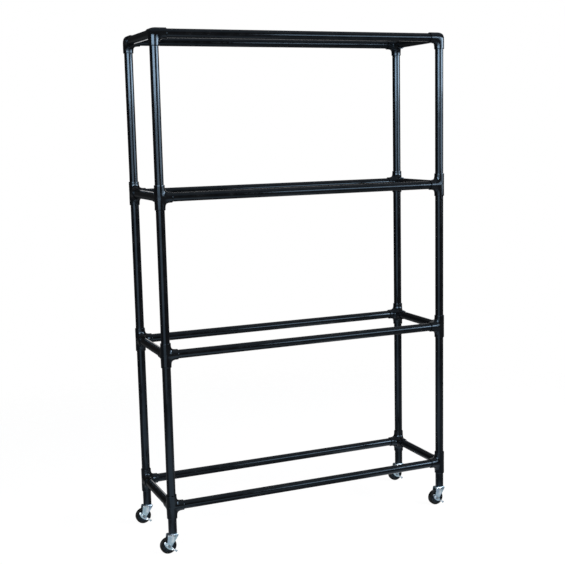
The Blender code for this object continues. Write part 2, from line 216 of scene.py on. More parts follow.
def rounded(points, radius, steps=3):
    """A closed outline with its corners rounded, less where an edge is too short for it. Corners
    on the axis x = 0, or left of it, stay as they are."""
    found = []
    for i, point in enumerate(points):
        here = Vector(point)
        back = Vector(points[i - 1]) - here
        on = Vector(points[(i + 1) % len(points)]) - here
        half = back.angle(on) / 2
        if half > NEARLY_STRAIGHT or here.x < ON_AXIS:
            found.append(tuple(here))
            continue
        reach = min(radius / math.tan(half), MOST_OF_EDGE * back.length, MOST_OF_EDGE * on.length)
        fillet = reach * math.tan(half)
        back.normalize()
        on.normalize()
        centre = here + (back + on).normalized() * fillet / math.sin(half)
        start = here + back * reach - centre
        found += swung(centre, start, -start.angle_signed(here + on * reach - centre), steps)
    return found


def turned(name, profile, sides, edge=0.0, steps=3):
    """A solid of revolution about Z from a closed outline of (radius, height) points."""
    if edge:
        profile = rounded(profile, edge, steps)
    pairs = [(i, (i + 1) % len(profile)) for i in range(len(profile))]
    pairs = [(a, b) for a, b in pairs if max(profile[a][0], profile[b][0]) > ON_AXIS]
    mesh = bpy.data.meshes.new(name)
    mesh.from_pydata([(radius, 0.0, height) for radius, height in profile], pairs, [])
    blank = add_object(name + "_blank", mesh)
    screw = blank.modifiers.new("turn", "SCREW")
    screw.steps = screw.render_steps = sides
    screw.use_merge_vertices = True
    screw.merge_threshold = AXIS_MERGE
    return settled(blank, name)


def plate(name, outlines, thickness, edge=0.0):
    """A plate in the XY plane from 2D outlines, the first its rim and the rest its holes."""
    curve = bpy.data.curves.new(name, "CURVE")
    curve.dimensions = "2D"
    curve.fill_mode = "BOTH"
    curve.extrude = thickness / 2 - edge
    curve.bevel_depth = edge
    curve.offset = -edge
    curve.bevel_resolution = 2
    for outline in outlines:
        spline = curve.splines.new("POLY")
        spline.points.add(len(outline) - 1)
        for point, (x, y) in zip(spline.points, outline):
            point.co = (x, y, 0.0, 1.0)
        spline.use_cyclic_u = True
    return settled(add_object(name + "_blank", curve), name)


print("outline helpers ready")

# %% How a piece joins the scene
def add_piece(name, mesh, body, slot, material, node, place=(0.0, 0.0, 0.0), turn=0.0):
    """Puts a copy of a mesh in the scene, with its place in the mesh, on its CAD body."""
    own = mesh.copy()
    own.name = name
    own.transform(Matrix.Translation(place) @ Matrix.Rotation(turn, 4, "Z"))
    own.materials.clear()
    own.materials.append(material)
    piece = add_object(name, own)
    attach(piece, body)
    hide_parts(node)
    return piece


print("every piece takes the place of a CAD node")

# %% [markdown]
# ## Camera
# The viewpoint was found by fitting a pinhole camera to the edges of the pipes in the
# photograph. It stands at eye height, in front of the rack and to its left, and looks slightly
# down, with a little roll. The picture is square, so its width alone gives the focal length.

# %% Camera
PICTURE_WIDTH = 565
FOCAL_PIXELS = 1044.41
CAMERA_PLACE = (-1.67624, -3.88270, 1.59926)
CAMERA_RIGHT = Vector((0.918594, -0.394585, -0.022081))
CAMERA_UP = Vector((0.076830, 0.123493, 0.989367))

camera_data = bpy.data.cameras.new("camera")
camera_data.sensor_width = 36.0
camera_data.lens = camera_data.sensor_width * FOCAL_PIXELS / PICTURE_WIDTH
camera = add_object("camera", camera_data)
camera_axes = Matrix((CAMERA_RIGHT, CAMERA_UP, CAMERA_RIGHT.cross(CAMERA_UP))).transposed()
camera.matrix_world = Matrix.Translation(CAMERA_PLACE) @ camera_axes.to_4x4()
bpy.context.scene.camera = camera
print("lens", round(camera_data.lens, 3), "mm")

# %% [markdown]
# ## Helpers for finishes
# A material is a little network of nodes. `add_node` makes one node and fills its sockets,
# either with a value or with a link from another socket, which keeps each network readable
# from top to bottom. A socket knows the tree that it belongs to, so the helpers for sums,
# ramps and noise find the tree from the values they are given.

# %% Node helpers
def fill(sockets, values):
    """Sets each named socket, or links it where the value comes from another node."""
    for key, value in values.items():
        if isinstance(value, bpy.types.NodeSocket):
            sockets[key].id_data.links.new(value, sockets[key])
        else:
            sockets[key].default_value = value


def add_node(tree, kind, values=None, **settings):
    made = tree.nodes.new(kind)
    for key, value in settings.items():
        setattr(made, key, value)
    fill(made.inputs, values or {})
    return made


def first(tree, kind, values=None, **settings):
    """The first output of a new node."""
    return add_node(tree, kind, values, **settings).outputs[0]


def tree_of(*values):
    """The tree of the first value that comes from a node."""
    return next(value.id_data for value in values if isinstance(value, bpy.types.NodeSocket))


def maths(operation, a, b, clamp=False):
    return first(tree_of(a, b), "ShaderNodeMath", {0: a, 1: b}, operation=operation, use_clamp=clamp)


OPERATIONS = ("ADD", "SUBTRACT", "MULTIPLY", "DIVIDE", "MAXIMUM")
plus, minus, times, over, greater = (partial(maths, operation) for operation in OPERATIONS)


def vector_maths(operation, a, b=(0.0, 0.0, 0.0), result="Value"):
    made = add_node(tree_of(a, b), "ShaderNodeVectorMath", {0: a, 1: b}, operation=operation)
    return made.outputs[result]


def parts(vector):
    """The X, Y and Z of a vector."""
    return add_node(tree_of(vector), "ShaderNodeSeparateXYZ", {0: vector}).outputs


def ramp(value, low, high, to_low=0.0, to_high=1.0):
    """A smooth step: the value's range from low to high becomes to_low to to_high."""
    values = {"Value": value, "From Min": low, "From Max": high, "To Min": to_low, "To Max": to_high}
    return first(tree_of(value), "ShaderNodeMapRange", values, interpolation_type="SMOOTHSTEP")


def noise(place, scale, detail=2.0, roughness=0.5):
    values = {"Vector": place, "Scale": scale, "Detail": detail, "Roughness": roughness}
    return first(tree_of(place), "ShaderNodeTexNoise", values)


def blend(share, a, b):
    """The colour a, with a share of the colour b over it."""
    return add_node(tree_of(share), "ShaderNodeMix", {0: share, 6: a, 7: b}, data_type="RGBA").outputs[2]


def new_tree(name, kind, inputs, outputs):
    """A node tree with sockets named and typed by two dicts: (tree, what it gets, what it gives)."""
    tree = bpy.data.node_groups.new(name, kind + "NodeTree")
    for in_out, sockets in (("INPUT", inputs), ("OUTPUT", outputs)):
        for label, socket in sockets.items():
            tree.interface.new_socket(label, in_out=in_out, socket_type="NodeSocket" + socket)
    return tree, tree.nodes.new("NodeGroupInput").outputs, tree.nodes.new("NodeGroupOutput").inputs


print("node helpers ready")

# %% Material helpers
def new_material(name, **constants):
    """A material with its shader's constant sockets set: (material, shader)."""
    material = bpy.data.materials.new(name)
    material.use_nodes = True
    shader = material.node_tree.nodes["Principled BSDF"]
    fill(shader.inputs, {key.replace("_", " "): value for key, value in constants.items()})
    return material, shader


def object_place(tree):
    return tree.nodes.new("ShaderNodeTexCoord").outputs["Object"]


def marked(tree, name):
    """A share that the mesh carries for each point."""
    return add_node(tree, "ShaderNodeAttribute", attribute_name=name).outputs["Fac"]


def use_group(group, place, **values):
    """Places a group and returns what it gives at a place."""
    values["Vector"] = place
    return add_node(tree_of(place), "ShaderNodeGroup", values, node_tree=group).outputs


def finish_surface(shader, colour, roughness, height, bump):
    """Links a finish to its shader. bump is how deep the relief is, in metres."""
    relief = first(
        shader.id_data, "ShaderNodeBump", {"Height": height, "Strength": 1.0, "Distance": bump}
    )
    fill(shader.inputs, {"Base Color": colour, "Roughness": roughness, "Normal": relief})


print("material helpers ready")

# %% [markdown]
# ## Shared surface effects
# Four effects turn up on several materials, so each is a group that is built once: fine grain,
# which breaks up a highlight; scuffs, the short straight scratches that handling leaves; dust,
# which settles on faces that look up; and the drifting tone of zinc plating.

# %% Shader groups
SCUFF_AXIS = (0.3, 0.5, 0.8)
SPANGLE_SHARE = 0.3
# Coarse patterns, as a share of the fine pattern's scale
MOTTLE_SCALE = 0.035
SCUFF_PATCH_SCALE = 0.025
# Scales in cells to the metre
DUST_CLOUDS = 55.0
DUST_SPECKS = 2600.0
SPANGLES = 260.0
TONE_CLOUDS = 95.0
TINT_CLOUDS = 48.0
STAINS = 120.0
BRUSH_LINES = 2200.0


def stretched_place(given):
    return vector_maths("MULTIPLY", given["Vector"], given["Stretch"], "Vector")


def build_fine_grain():
    tree, given, result = new_tree(
        "fine_grain", "Shader",
        {"Vector": "Vector", "Stretch": "Vector", "Size": "Float"},
        {"Grain": "Float", "Mottle": "Float"},
    )
    mottle = noise(given["Vector"], over(MOTTLE_SCALE, given["Size"]), 4.0)
    fill(result, {
        "Grain": noise(stretched_place(given), over(1.0, given["Size"]), 3.0, 0.55),
        "Mottle": ramp(mottle, 0.32, 0.68),
    })
    return tree


def build_scuffs():
    tree, given, result = new_tree(
        "handling_scuffs", "Shader",
        {"Vector": "Vector", "Turn": "Float", "Stretch": "Vector", "Size": "Float"},
        {"Mask": "Float"},
    )
    turning = {"Vector": given["Vector"], "Axis": SCUFF_AXIS, "Angle": given["Turn"]}
    turned_place = first(tree, "ShaderNodeVectorRotate", turning)
    streaks_place = vector_maths("MULTIPLY", turned_place, given["Stretch"], "Vector")
    fine = over(1.0, given["Size"])
    streak = ramp(noise(streaks_place, fine, 1.0), 0.64, 0.72)
    patch = ramp(noise(given["Vector"], times(fine, SCUFF_PATCH_SCALE)), 0.50, 0.64)
    fill(result, {"Mask": times(streak, patch)})
    return tree


def build_dust():
    tree, given, result = new_tree(
        "settled_dust", "Shader",
        {"Vector": "Vector", "Normal": "Vector", "Amount": "Float"},
        {"Mask": "Float"},
    )
    facing_up = ramp(parts(given["Normal"])["Z"], 0.45, 1.0)
    cloud = ramp(noise(given["Vector"], DUST_CLOUDS, 6.0, 0.7), 0.35, 0.75, 0.25, 1.0)
    specks = ramp(noise(given["Vector"], DUST_SPECKS), 0.62, 0.7, 0.0, 0.5)
    mask = times(facing_up, plus(cloud, specks))
    fill(result, {"Mask": times(mask, given["Amount"], clamp=True)})
    return tree


def build_plating():
    tree, given, result = new_tree(
        "zinc_plating", "Shader",
        {"Vector": "Vector", "Stretch": "Vector"},
        {"Tone": "Float", "Tint": "Float", "Brush": "Float", "Stain": "Float"},
    )
    place = given["Vector"]
    cells = add_node(tree, "ShaderNodeTexVoronoi", {"Vector": place, "Scale": SPANGLES})
    spangle = times(cells.outputs["Color"], SPANGLE_SHARE)
    cloud = ramp(noise(place, TONE_CLOUDS, 3.0), 0.36, 0.64)
    fill(result, {
        "Tone": plus(spangle, times(cloud, 1.0 - SPANGLE_SHARE)),
        "Tint": ramp(noise(place, TINT_CLOUDS), 0.42, 0.60),
        "Brush": noise(stretched_place(given), BRUSH_LINES),
        "Stain": ramp(noise(place, STAINS, 5.0), 0.56, 0.70),
    })
    return tree


fine_grain = build_fine_grain()
handling_scuffs = build_scuffs()
settled_dust = build_dust()
zinc_plating = build_plating()
print("groups", [group.name for group in bpy.data.node_groups])

# %% [markdown]
# ## Black plastic
# Pipe and fittings are the same black vinyl, and differ in how they were made. Extruded pipe
# carries faint lines along its length, so its grain is stretched that way and there is one
# material for each direction a pipe can lie in. Moulded fittings are a little less glossy, with
# an even orange-peel. A bluish specular tint gives the steel-blue highlights of the real rack.

# %% Plastic finishes
BLACK = (0.0032, 0.0033, 0.0037, 1.0)
BLACK_WORN = (0.0060, 0.0061, 0.0066, 1.0)
SCUFF_GREY = (0.050, 0.052, 0.056, 1.0)
DUST = (0.20, 0.19, 0.18, 1.0)
BLUE_SHEEN = (0.50, 0.74, 1.0, 1.0)
UNSTRETCHED = (1.0, 1.0, 1.0)
GRAIN_ALONG = 0.012
MOTTLE_ROUGHER = 0.05
SCUFF_SIZE = 0.0009
SCUFF_ALONG = 0.04
SCUFF_DEPTH = 0.8
SCUFF_PALER = 0.45
SCUFF_ROUGHER = 0.16
DUST_ROUGHER = 1.2


def stretched(direction, share):
    """Squeezes a pattern's place along one axis, which draws the pattern out along it."""
    return tuple(share if axis == direction else 1.0 for axis in "XYZ")


def plastic_finish(name, direction, grain_size, bump, gloss, dust):
    """direction is the way the plastic was drawn, or None; gloss the cleanest roughness."""
    material, shader = new_material(name, Specular_Tint=BLUE_SHEEN, Specular_IOR_Level=0.5)
    place = object_place(shader.id_data)
    grain = use_group(fine_grain, place, Stretch=stretched(direction, GRAIN_ALONG), Size=grain_size)
    way, turn = (direction, 0.0) if direction else ("X", 0.7)
    scuffs = use_group(
        handling_scuffs, place, Turn=turn, Stretch=stretched(way, SCUFF_ALONG), Size=SCUFF_SIZE
    )["Mask"]
    normal = shader.id_data.nodes.new("ShaderNodeNewGeometry").outputs["Normal"]
    film = use_group(settled_dust, place, Normal=normal, Amount=dust)["Mask"]
    colour = blend(grain["Mottle"], BLACK, BLACK_WORN)
    colour = blend(times(scuffs, SCUFF_PALER), colour, SCUFF_GREY)
    colour = blend(film, colour, DUST)
    roughness = ramp(grain["Mottle"], 0.0, 1.0, gloss, gloss + MOTTLE_ROUGHER)
    roughness = plus(roughness, times(scuffs, SCUFF_ROUGHER))
    roughness = plus(roughness, times(film, DUST_ROUGHER), clamp=True)
    height = minus(grain["Grain"], times(scuffs, SCUFF_DEPTH))
    finish_surface(shader, colour, roughness, height, bump)
    return material


pipe_finish = {
    axis: plastic_finish("pipe_along_" + axis.lower(), axis, 0.0012, 0.000003, 0.09, 0.03)
    for axis in "XYZ"
}
fitting_finish = plastic_finish("moulded_fitting", None, 0.0016, 0.000006, 0.11, 0.04)
nylon_finish = plastic_finish("black_nylon", None, 0.0007, 0.000015, 0.36, 0.0)
print("plastic finishes ready")

# %% [markdown]
# ## Zinc-plated steel
# The caster's fork, race and brake lever are steel with a bright zinc plating. Its passivation
# drifts between steel blue, teal and a pale lilac, with a faint spangle, fine brush lines and a
# few duller stains. Where a press has drawn the metal up it is burnished smoother, and there a
# paler colour is a painted highlight, which the piece says with a point attribute named
# burnish_and_painted_highlight. The axle bolt and its nut are darker, dull steel.

# %% Metal finishes
ZINC_TONES = ((0.30, 0.43, 0.56, 1.0), (0.48, 0.60, 0.73, 1.0))
ZINC_TEAL = (0.42, 0.61, 0.66, 1.0)
ZINC_DULL = (0.25, 0.29, 0.33, 1.0)
# A paler zinc, painted on burnished places as a highlight
ZINC_BURNISHED_AND_HIGHLIGHT = (0.84, 0.93, 1.0, 1.0)
DULL_TONES = ((0.15, 0.18, 0.20, 1.0), (0.28, 0.32, 0.35, 1.0))
METAL_SCUFF_SIZE = 0.0005
METAL_SCUFF_ROUGHER = 0.10
BRUSH_ROUGHER = 0.10
STAIN_DULLER = 0.4
STAIN_ROUGHER = 0.12
BURNISHED_SMOOTHER = 0.06


def metal_finish(name, stretch, tones, teal, smoothest, bump):
    """tones are the darkest and palest plating, teal the share of the green-blue tint."""
    material, shader = new_material(name, Metallic=1.0)
    place = object_place(shader.id_data)
    plating = use_group(zinc_plating, place, Stretch=stretch)
    scuffs = use_group(
        handling_scuffs, place, Turn=0.9, Stretch=stretched("X", SCUFF_ALONG), Size=METAL_SCUFF_SIZE
    )["Mask"]
    patchy = ramp(plating["Brush"], 0.35, 0.65, 0.60, 1.00)
    # Where the mesh marks burnished places the colour is painted paler as a highlight, and the roughness
    # drops as real burnish
    burnish_and_highlight_share = times(marked(shader.id_data, "burnish_and_painted_highlight"), patchy)
    colour = blend(plating["Tone"], *tones)
    colour = blend(times(plating["Tint"], teal), colour, ZINC_TEAL)
    colour = blend(times(plating["Stain"], STAIN_DULLER), colour, ZINC_DULL)
    colour = blend(burnish_and_highlight_share, colour, ZINC_BURNISHED_AND_HIGHLIGHT)
    roughness = ramp(plating["Brush"], 0.3, 0.7, smoothest, smoothest + BRUSH_ROUGHER)
    roughness = plus(roughness, times(plating["Stain"], STAIN_ROUGHER))
    roughness = plus(roughness, times(scuffs, METAL_SCUFF_ROUGHER))
    roughness = minus(roughness, times(burnish_and_highlight_share, BURNISHED_SMOOTHER))
    height = minus(plating["Brush"], times(scuffs, SCUFF_DEPTH))
    finish_surface(shader, colour, roughness, height, bump)
    return material


pressed_zinc = metal_finish("pressed_zinc", (0.12, 1.0, 1.0), ZINC_TONES, 0.55, 0.26, 0.000006)
lever_zinc = metal_finish("lever_zinc", (1.0, 1.0, 0.12), ZINC_TONES, 0.45, 0.22, 0.000005)
turned_zinc = metal_finish("turned_zinc", UNSTRETCHED, ZINC_TONES, 0.30, 0.20, 0.000004)
dull_steel = metal_finish("dull_steel", UNSTRETCHED, DULL_TONES, 0.0, 0.30, 0.000004)
print("metal finishes ready")

# %% [markdown]
# ## Hard rubber
# The tyre is black rubber, satin on its sides and duller on its tread, with grey floor dust
# rubbed into it. The tread is told from the sides by the piece's own point attribute, named
# tread, rather than by place, because the wheel turns.

# %% Rubber finish
RUBBER = (0.0042, 0.0043, 0.0046, 1.0)
RUBBER_WORN = (0.0400, 0.0420, 0.0460, 1.0)
RUBBER_ROUGHNESS = (0.34, 0.44)
RUBBER_GRAIN = 0.0006
RUBBER_RELIEF = 0.00003
TREAD_ROUGHER = 0.3


def rubber_finish(name):
    material, shader = new_material(name, Specular_IOR_Level=0.14)
    place = object_place(shader.id_data)
    grain = use_group(fine_grain, place, Stretch=UNSTRETCHED, Size=RUBBER_GRAIN)
    rubbed = times(marked(shader.id_data, "tread"), grain["Mottle"])
    colour = blend(rubbed, RUBBER, RUBBER_WORN)
    roughness = ramp(grain["Mottle"], 0.0, 1.0, *RUBBER_ROUGHNESS)
    roughness = plus(roughness, times(rubbed, TREAD_ROUGHER))
    finish_surface(shader, colour, roughness, grain["Grain"], RUBBER_RELIEF)
    return material


tyre_finish = rubber_finish("tyre_rubber")
print("rubber finish ready")

# %% [markdown]
# ## Pipes
# A pipe is one wall section carried round a circle. The section is a long thin rectangle with
# its corners broken, as a saw and a deburring tool leave them, and Geometry Nodes sweep it
# round. One tree makes all 32 lengths: only its named inputs change from pipe to pipe.

# %% The pipe tree
PIPE_SIDES = 72
CUT_EDGE = 0.0004


def finish_tree(geometry, material, result):
    """Every tree ends the same way: instances made real, then the material set."""
    tree = geometry.id_data
    real = first(tree, "GeometryNodeRealizeInstances", {0: geometry})
    painted = first(tree, "GeometryNodeSetMaterial", {"Geometry": real, "Material": material})
    fill(result, {"Geometry": painted})


def run_tree(tree, name, values):
    """Runs a tree on an empty mesh with its named inputs set, and settles the result."""
    obj = add_object(name + "_blank", bpy.data.meshes.new(name))
    modifier = obj.modifiers.new("nodes", "NODES")
    modifier.node_group = tree
    for item in tree.interface.items_tree:
        if item.in_out == "INPUT":
            modifier[item.identifier] = values[item.name]
    return settled(obj, name)


def build_pipe_tree():
    tree, given, result = new_tree(
        "pipe_length", "Geometry",
        {
            "Length": "Float", "Radius": "Float", "Wall": "Float", "Cut edge": "Float",
            "Sides": "Int", "Place": "Vector", "Turn": "Vector", "Material": "Material",
        },
        {"Geometry": "Geometry"},
    )
    middle_radius = minus(given["Radius"], times(given["Wall"], 0.5))
    section = first(
        tree, "GeometryNodeCurvePrimitiveQuadrilateral", {"Width": given["Wall"], "Height": given["Length"]}
    )
    eased = first(
        tree, "GeometryNodeFilletCurve", {"Curve": section, "Radius": given["Cut edge"]}, mode="POLY"
    )
    ring = first(
        tree, "GeometryNodeCurvePrimitiveCircle", {"Resolution": given["Sides"], "Radius": middle_radius}
    )
    swept = first(tree, "GeometryNodeCurveToMesh", {"Curve": ring, "Profile Curve": eased})
    turn = first(tree, "FunctionNodeEulerToRotation", {0: given["Turn"]})
    placing = {"Geometry": swept, "Translation": given["Place"], "Rotation": turn}
    finish_tree(first(tree, "GeometryNodeTransform", placing), given["Material"], result)
    return tree


pipe_tree = build_pipe_tree()
print("pipe tree with", len(pipe_tree.nodes), "nodes")

# %% [markdown]
# ## Cutting the pipes to length
# Each CAD pipe's box says where its pipe starts and ends and which way it lies. The pieces
# keep those places, so posts stop inside the hubs just as in the frame, and the short legs
# stand on the casters.

# %% All pipes
LIE = {"X": (0.0, math.pi / 2, 0.0), "Y": (math.pi / 2, 0.0, 0.0), "Z": (0.0, 0.0, 0.0)}


def add_pipe(name, node, direction):
    material = pipe_finish[direction]
    mesh = run_tree(pipe_tree, name, {
        "Length": size(node)["XYZ".index(direction)], "Radius": PIPE_RADIUS, "Wall": PIPE_WALL,
        "Cut edge": CUT_EDGE, "Sides": PIPE_SIDES, "Place": tuple(middle(node)),
        "Turn": LIE[direction], "Material": material,
    })
    smooth(mesh)
    return add_piece(name, mesh, "frame", "pipe", material, node)


pipes = []
for corner in CORNERS:
    pipes.append(add_pipe("leg_pipe_" + corner, "leg_" + corner, "Z"))
    for tier in (1, 2, 3):
        place = "%s_%d" % (corner, tier)
        pipes.append(add_pipe("post_pipe_" + place, "post_" + place, "Z"))
for tier in (1, 2, 3, 4):
    for row in ("front", "back"):
        place = "%s_%d" % (row, tier)
        pipes.append(add_pipe("rail_pipe_" + place, "rail_" + place, "X"))
    for end in ("left", "right"):
        place = "%s_%d" % (end, tier)
        pipes.append(add_pipe("side_pipe_" + place, "side_rail_" + place, "Y"))
print(len(pipes), "pipes,", len(pipes[0].data.polygons), "faces each")

# %% [markdown]
# ## Moulded fittings
# A fitting is a skin with no seams: three or four sleeves that flow into a rounded hub. A
# subdivision cage is the natural way to get that flow. The cage is a cube cut into eight, with
# one side opened for each outlet and its ring of eight vertices drawn out into a sleeve. Where
# two sleeves meet, the cage vertices lie on the mitre between them, which leaves the soft
# webs that a mould needs.

# %% The fitting's cage
PARTING_HEIGHT = 0.00010
SLEEVE_GAP = 0.0003
SLEEVE_WALL = 0.0032 - 1.5 * PARTING_HEIGHT
SLEEVE_RADIUS = PIPE_RADIUS + SLEEVE_GAP + SLEEVE_WALL
CAGE_RADIUS = SLEEVE_RADIUS * 3 / (2 + math.cos(math.pi / 4))
HUB_SHOULDER = 0.4
CLOSED_FACE_SHARE = 0.93


def hub_vertex(sides, outlets):
    """Where a vertex of the cut cube goes. sides is -1, 0 or 1 on each axis."""
    faces = [axis for axis in range(3) if sides[axis]]
    open_faces = [axis for axis in faces if (axis, sides[axis]) in outlets]
    place = [0.0, 0.0, 0.0]
    for axis in faces:
        if len(faces) == 1:
            share = CLOSED_FACE_SHARE
        elif len(open_faces) > 1:
            share = 1 / math.sqrt(len(faces) - 1)
        elif axis not in open_faces:
            share = 1 / math.sqrt(len(faces) - len(open_faces))
        else:
            share = HUB_SHOULDER
        place[axis] = sides[axis] * CAGE_RADIUS * share
    return place


def ring_edges(bm, ring, where):
    """The ring's edges, with those made again that went when both their faces were opened."""
    edges = [edge for edge in bm.edges if set(edge.verts) <= set(ring)]
    known = {frozenset(edge.verts) for edge in edges}
    for i, a in enumerate(ring):
        for b in ring[i + 1 :]:
            step = sum(abs(p - q) for p, q in zip(where[a], where[b]))
            if step == 1 and frozenset((a, b)) not in known:
                edges.append(bm.edges.new((a, b)))
    return edges


def draw_out_sleeve(bm, ring, where, axis, side):
    """Carries an outlet's ring of vertices out to the sleeve's mouth."""
    edges = ring_edges(bm, ring, where)
    mouth = {}
    for vertex in ring:
        across = [c if i != axis else 0 for i, c in enumerate(where[vertex])]
        direction = Vector(across).normalized() * CAGE_RADIUS
        direction[axis] = side * FITTING_REACH
        mouth[vertex] = bm.verts.new(direction)
    for edge in edges:
        a, b = edge.verts
        bm.faces.new((a, b, mouth[b], mouth[a]))


def fitting_cage(name, outlets):
    """The cage of a fitting with outlets given as (axis, side)."""
    mesh = bpy.data.meshes.new(name)
    with edited(mesh) as bm:
        bmesh.ops.create_cube(bm, size=2.0)
        bmesh.ops.subdivide_edges(bm, edges=bm.edges[:], cuts=1, use_grid_fill=True)
        where = {vertex: tuple(round(c) for c in vertex.co) for vertex in bm.verts}
        rings = {}
        for axis, side in outlets:
            face = [v for v, p in where.items() if p[axis] == side]
            centre = next(v for v in face if sum(map(abs, where[v])) == 1)
            rings[axis, side] = [v for v in face if v is not centre]
            del where[centre]
            bmesh.ops.delete(bm, geom=[centre], context="VERTS")
        for (axis, side), ring in rings.items():
            draw_out_sleeve(bm, ring, where, axis, side)
        for vertex, sides in where.items():
            vertex.co = hub_vertex(sides, outlets)
        bmesh.ops.recalc_face_normals(bm, faces=bm.faces)
    return mesh


tee_cage = fitting_cage("tee_cage", [(0, 1), (1, 1), (2, 1), (2, -1)])
elbow_cage = fitting_cage("elbow_cage", [(0, 1), (1, 1), (2, -1)])
print("cages", len(tee_cage.polygons), "and", len(elbow_cage.polygons), "faces")

# %% [markdown]
# ## What the mould leaves behind
# Two marks tell a moulded part from a perfect one. The two halves of the mould meet in a
# parting line, a ridge about a tenth of a millimetre high, and the plastic enters at a gate,
# which leaves a small round button on the hub's outer corner. Both are real geometry here, so
# they catch the light.

# %% Skin, parting line, wall and gate button
FITTING_LEVELS = 3
PARTING_HALF_WIDTH = 0.00030
ON_THE_LINE = 0.00001
MOUTH_EDGE = 0.0005
GATE_RADIUS = 0.0019
GATE_PROUD = 0.00035
GATE_SUNK = 0.002
GATE_BAND = 0.004
GATE_SIDES = 24
OUT_OF_CORNER = Vector((-1.0, -1.0, 0.0)).normalized()


def add_parting_line(mesh):
    """A low ridge where the plane y = 0 cuts the skin."""
    with edited(mesh) as bm:
        for offset in (-PARTING_HALF_WIDTH, 0.0, PARTING_HALF_WIDTH):
            cut(bm, (0.0, offset, 0.0), (0.0, 1.0, 0.0), ON_THE_LINE)
        bm.normal_update()
        crest = [(v, v.normal.copy()) for v in bm.verts if abs(v.co.y) < 2 * ON_THE_LINE]
        for vertex, normal in crest:
            vertex.co += normal * PARTING_HEIGHT


def gate_button(name):
    """The round stub of the sprue, a little hollow in its middle, about +Z."""
    profile = [
        (0.0, -GATE_SUNK), (GATE_RADIUS, -GATE_SUNK), (GATE_RADIUS * 0.92, GATE_PROUD),
        (GATE_RADIUS * 0.45, GATE_PROUD), (0.0, GATE_PROUD * 0.35),
    ]
    return turned(name, profile, GATE_SIDES, 0.0002, 2)


def finished_fitting(name, cage):
    skin = add_object(name + "_skin", cage)
    flow = skin.modifiers.new("flow", "SUBSURF")
    flow.levels = flow.render_levels = FITTING_LEVELS
    mesh = settled(skin, name)
    reach = max(v.co.dot(OUT_OF_CORNER) for v in mesh.vertices if abs(v.co.z) < GATE_BAND)
    add_parting_line(mesh)
    walled = add_object(name + "_walled", mesh)
    wall = walled.modifiers.new("wall", "SOLIDIFY")
    wall.thickness = SLEEVE_WALL
    wall.offset = -1.0
    wall.use_even_offset = False
    add_bevel(walled, MOUTH_EDGE, 60.0)
    body = settled(walled, name)
    button = gate_button(name + "_gate")
    facing_out = OUT_OF_CORNER.to_track_quat("Z", "Y").to_matrix().to_4x4()
    button.transform(Matrix.Translation(OUT_OF_CORNER * reach) @ facing_out)
    whole = joined(name, [body, button])
    smooth(whole, 50.0)
    return whole


tee = finished_fitting("moulded_tee", tee_cage)
elbow = finished_fitting("moulded_elbow", elbow_cage)
print("tee", len(tee.polygons), "faces, elbow", len(elbow.polygons), "faces")

# %% Put the fittings on the frame
for corner in CORNERS:
    for tier, height in enumerate(TIERS, start=1):
        kind, mesh, node = "tee", tee, "tee_%s_%d" % (corner, tier)
        if tier == len(TIERS):
            kind, mesh, node = "elbow", elbow, "elbow_" + corner
        add_piece(
            "moulded_%s_%s_%d" % (kind, corner, tier), mesh, "frame", "fitting",
            fitting_finish, node, (*POSTS[corner], height), FITTING_TURN[corner],
        )
print("16 fittings in place")

# %% [markdown]
# ## Caster: socket, stem and race
# The caster's stem turns in a plug pressed into the leg. Under it sits the ball race: two thin
# washers with a ring of steel balls that just shows between them. These are all turned shapes,
# so each is one outline spun round the swivel axis. The balls repeat round a circle, which
# makes them work for Geometry Nodes.

# %% A tree that repeats a piece round a circle
def build_ring_tree():
    """Copies of one object round a circle about an axis through the origin, each facing out."""
    tree, given, result = new_tree(
        "ring_of_copies", "Geometry",
        {"Copy": "Object", "Count": "Int", "Ring radius": "Float", "Material": "Material"},
        {"Geometry": "Geometry"},
    )
    spots = {"Vertices": given["Count"], "Radius": given["Ring radius"]}
    ring = first(tree, "GeometryNodeMeshCircle", spots)
    place = first(tree, "GeometryNodeInputPosition")
    facing = first(tree, "FunctionNodeAlignRotationToVector", {"Vector": place}, axis="X", pivot_axis="Z")
    source = add_node(tree, "GeometryNodeObjectInfo", {"Object": given["Copy"]}).outputs["Geometry"]
    copies = {"Points": ring, "Instance": source, "Rotation": facing}
    finish_tree(first(tree, "GeometryNodeInstanceOnPoints", copies), given["Material"], result)
    return tree


def ring_of(name, mesh, count, radius, material):
    copy = add_object(name + "_copy", mesh)
    values = {"Copy": copy, "Count": count, "Ring radius": radius, "Material": material}
    made = run_tree(ring_tree, name, values)
    bpy.data.objects.remove(copy)
    return made


ring_tree = build_ring_tree()
print("ring tree with", len(ring_tree.nodes), "nodes")

# %% Turned pieces on the swivel axis
FORK_PLATE = 0.0025
WHEEL_TO_CROWN = 0.0117
CROWN_UNDERSIDE = 2 * WHEEL_RADIUS + WHEEL_TO_CROWN
CROWN_TOP = CROWN_UNDERSIDE + FORK_PLATE
RACE_HEIGHT = 0.002
RACE_TOP = CROWN_TOP + RACE_HEIGHT
RACE_RADIUS = 0.015
RACE_BORE = 0.0062
CAP_RADIUS = 0.0146
KINGPIN_RADIUS = 0.008
STEM_RADIUS = 0.0055
STEM_IN_LEG = 0.030
STEM_TOP = LEG_END + STEM_IN_LEG
STEM_GROOVE = 0.0008
RUNNING_GAP = 0.0003
PLUG_SLACK = 0.0001
PLUG_RADIUS = PIPE_RADIUS - PIPE_WALL - PLUG_SLACK
PLUG_LENGTH = 0.036
BALL_RADIUS = 0.0006
BALL_RING = 0.0139
BALL_COUNT = 24
BALL_SIDES = 10
TURNED_SIDES = 48


def lifted(height, *points):
    """An outline's (radius, height) points, measured from a height."""
    return [(radius, height + above) for radius, above in points]


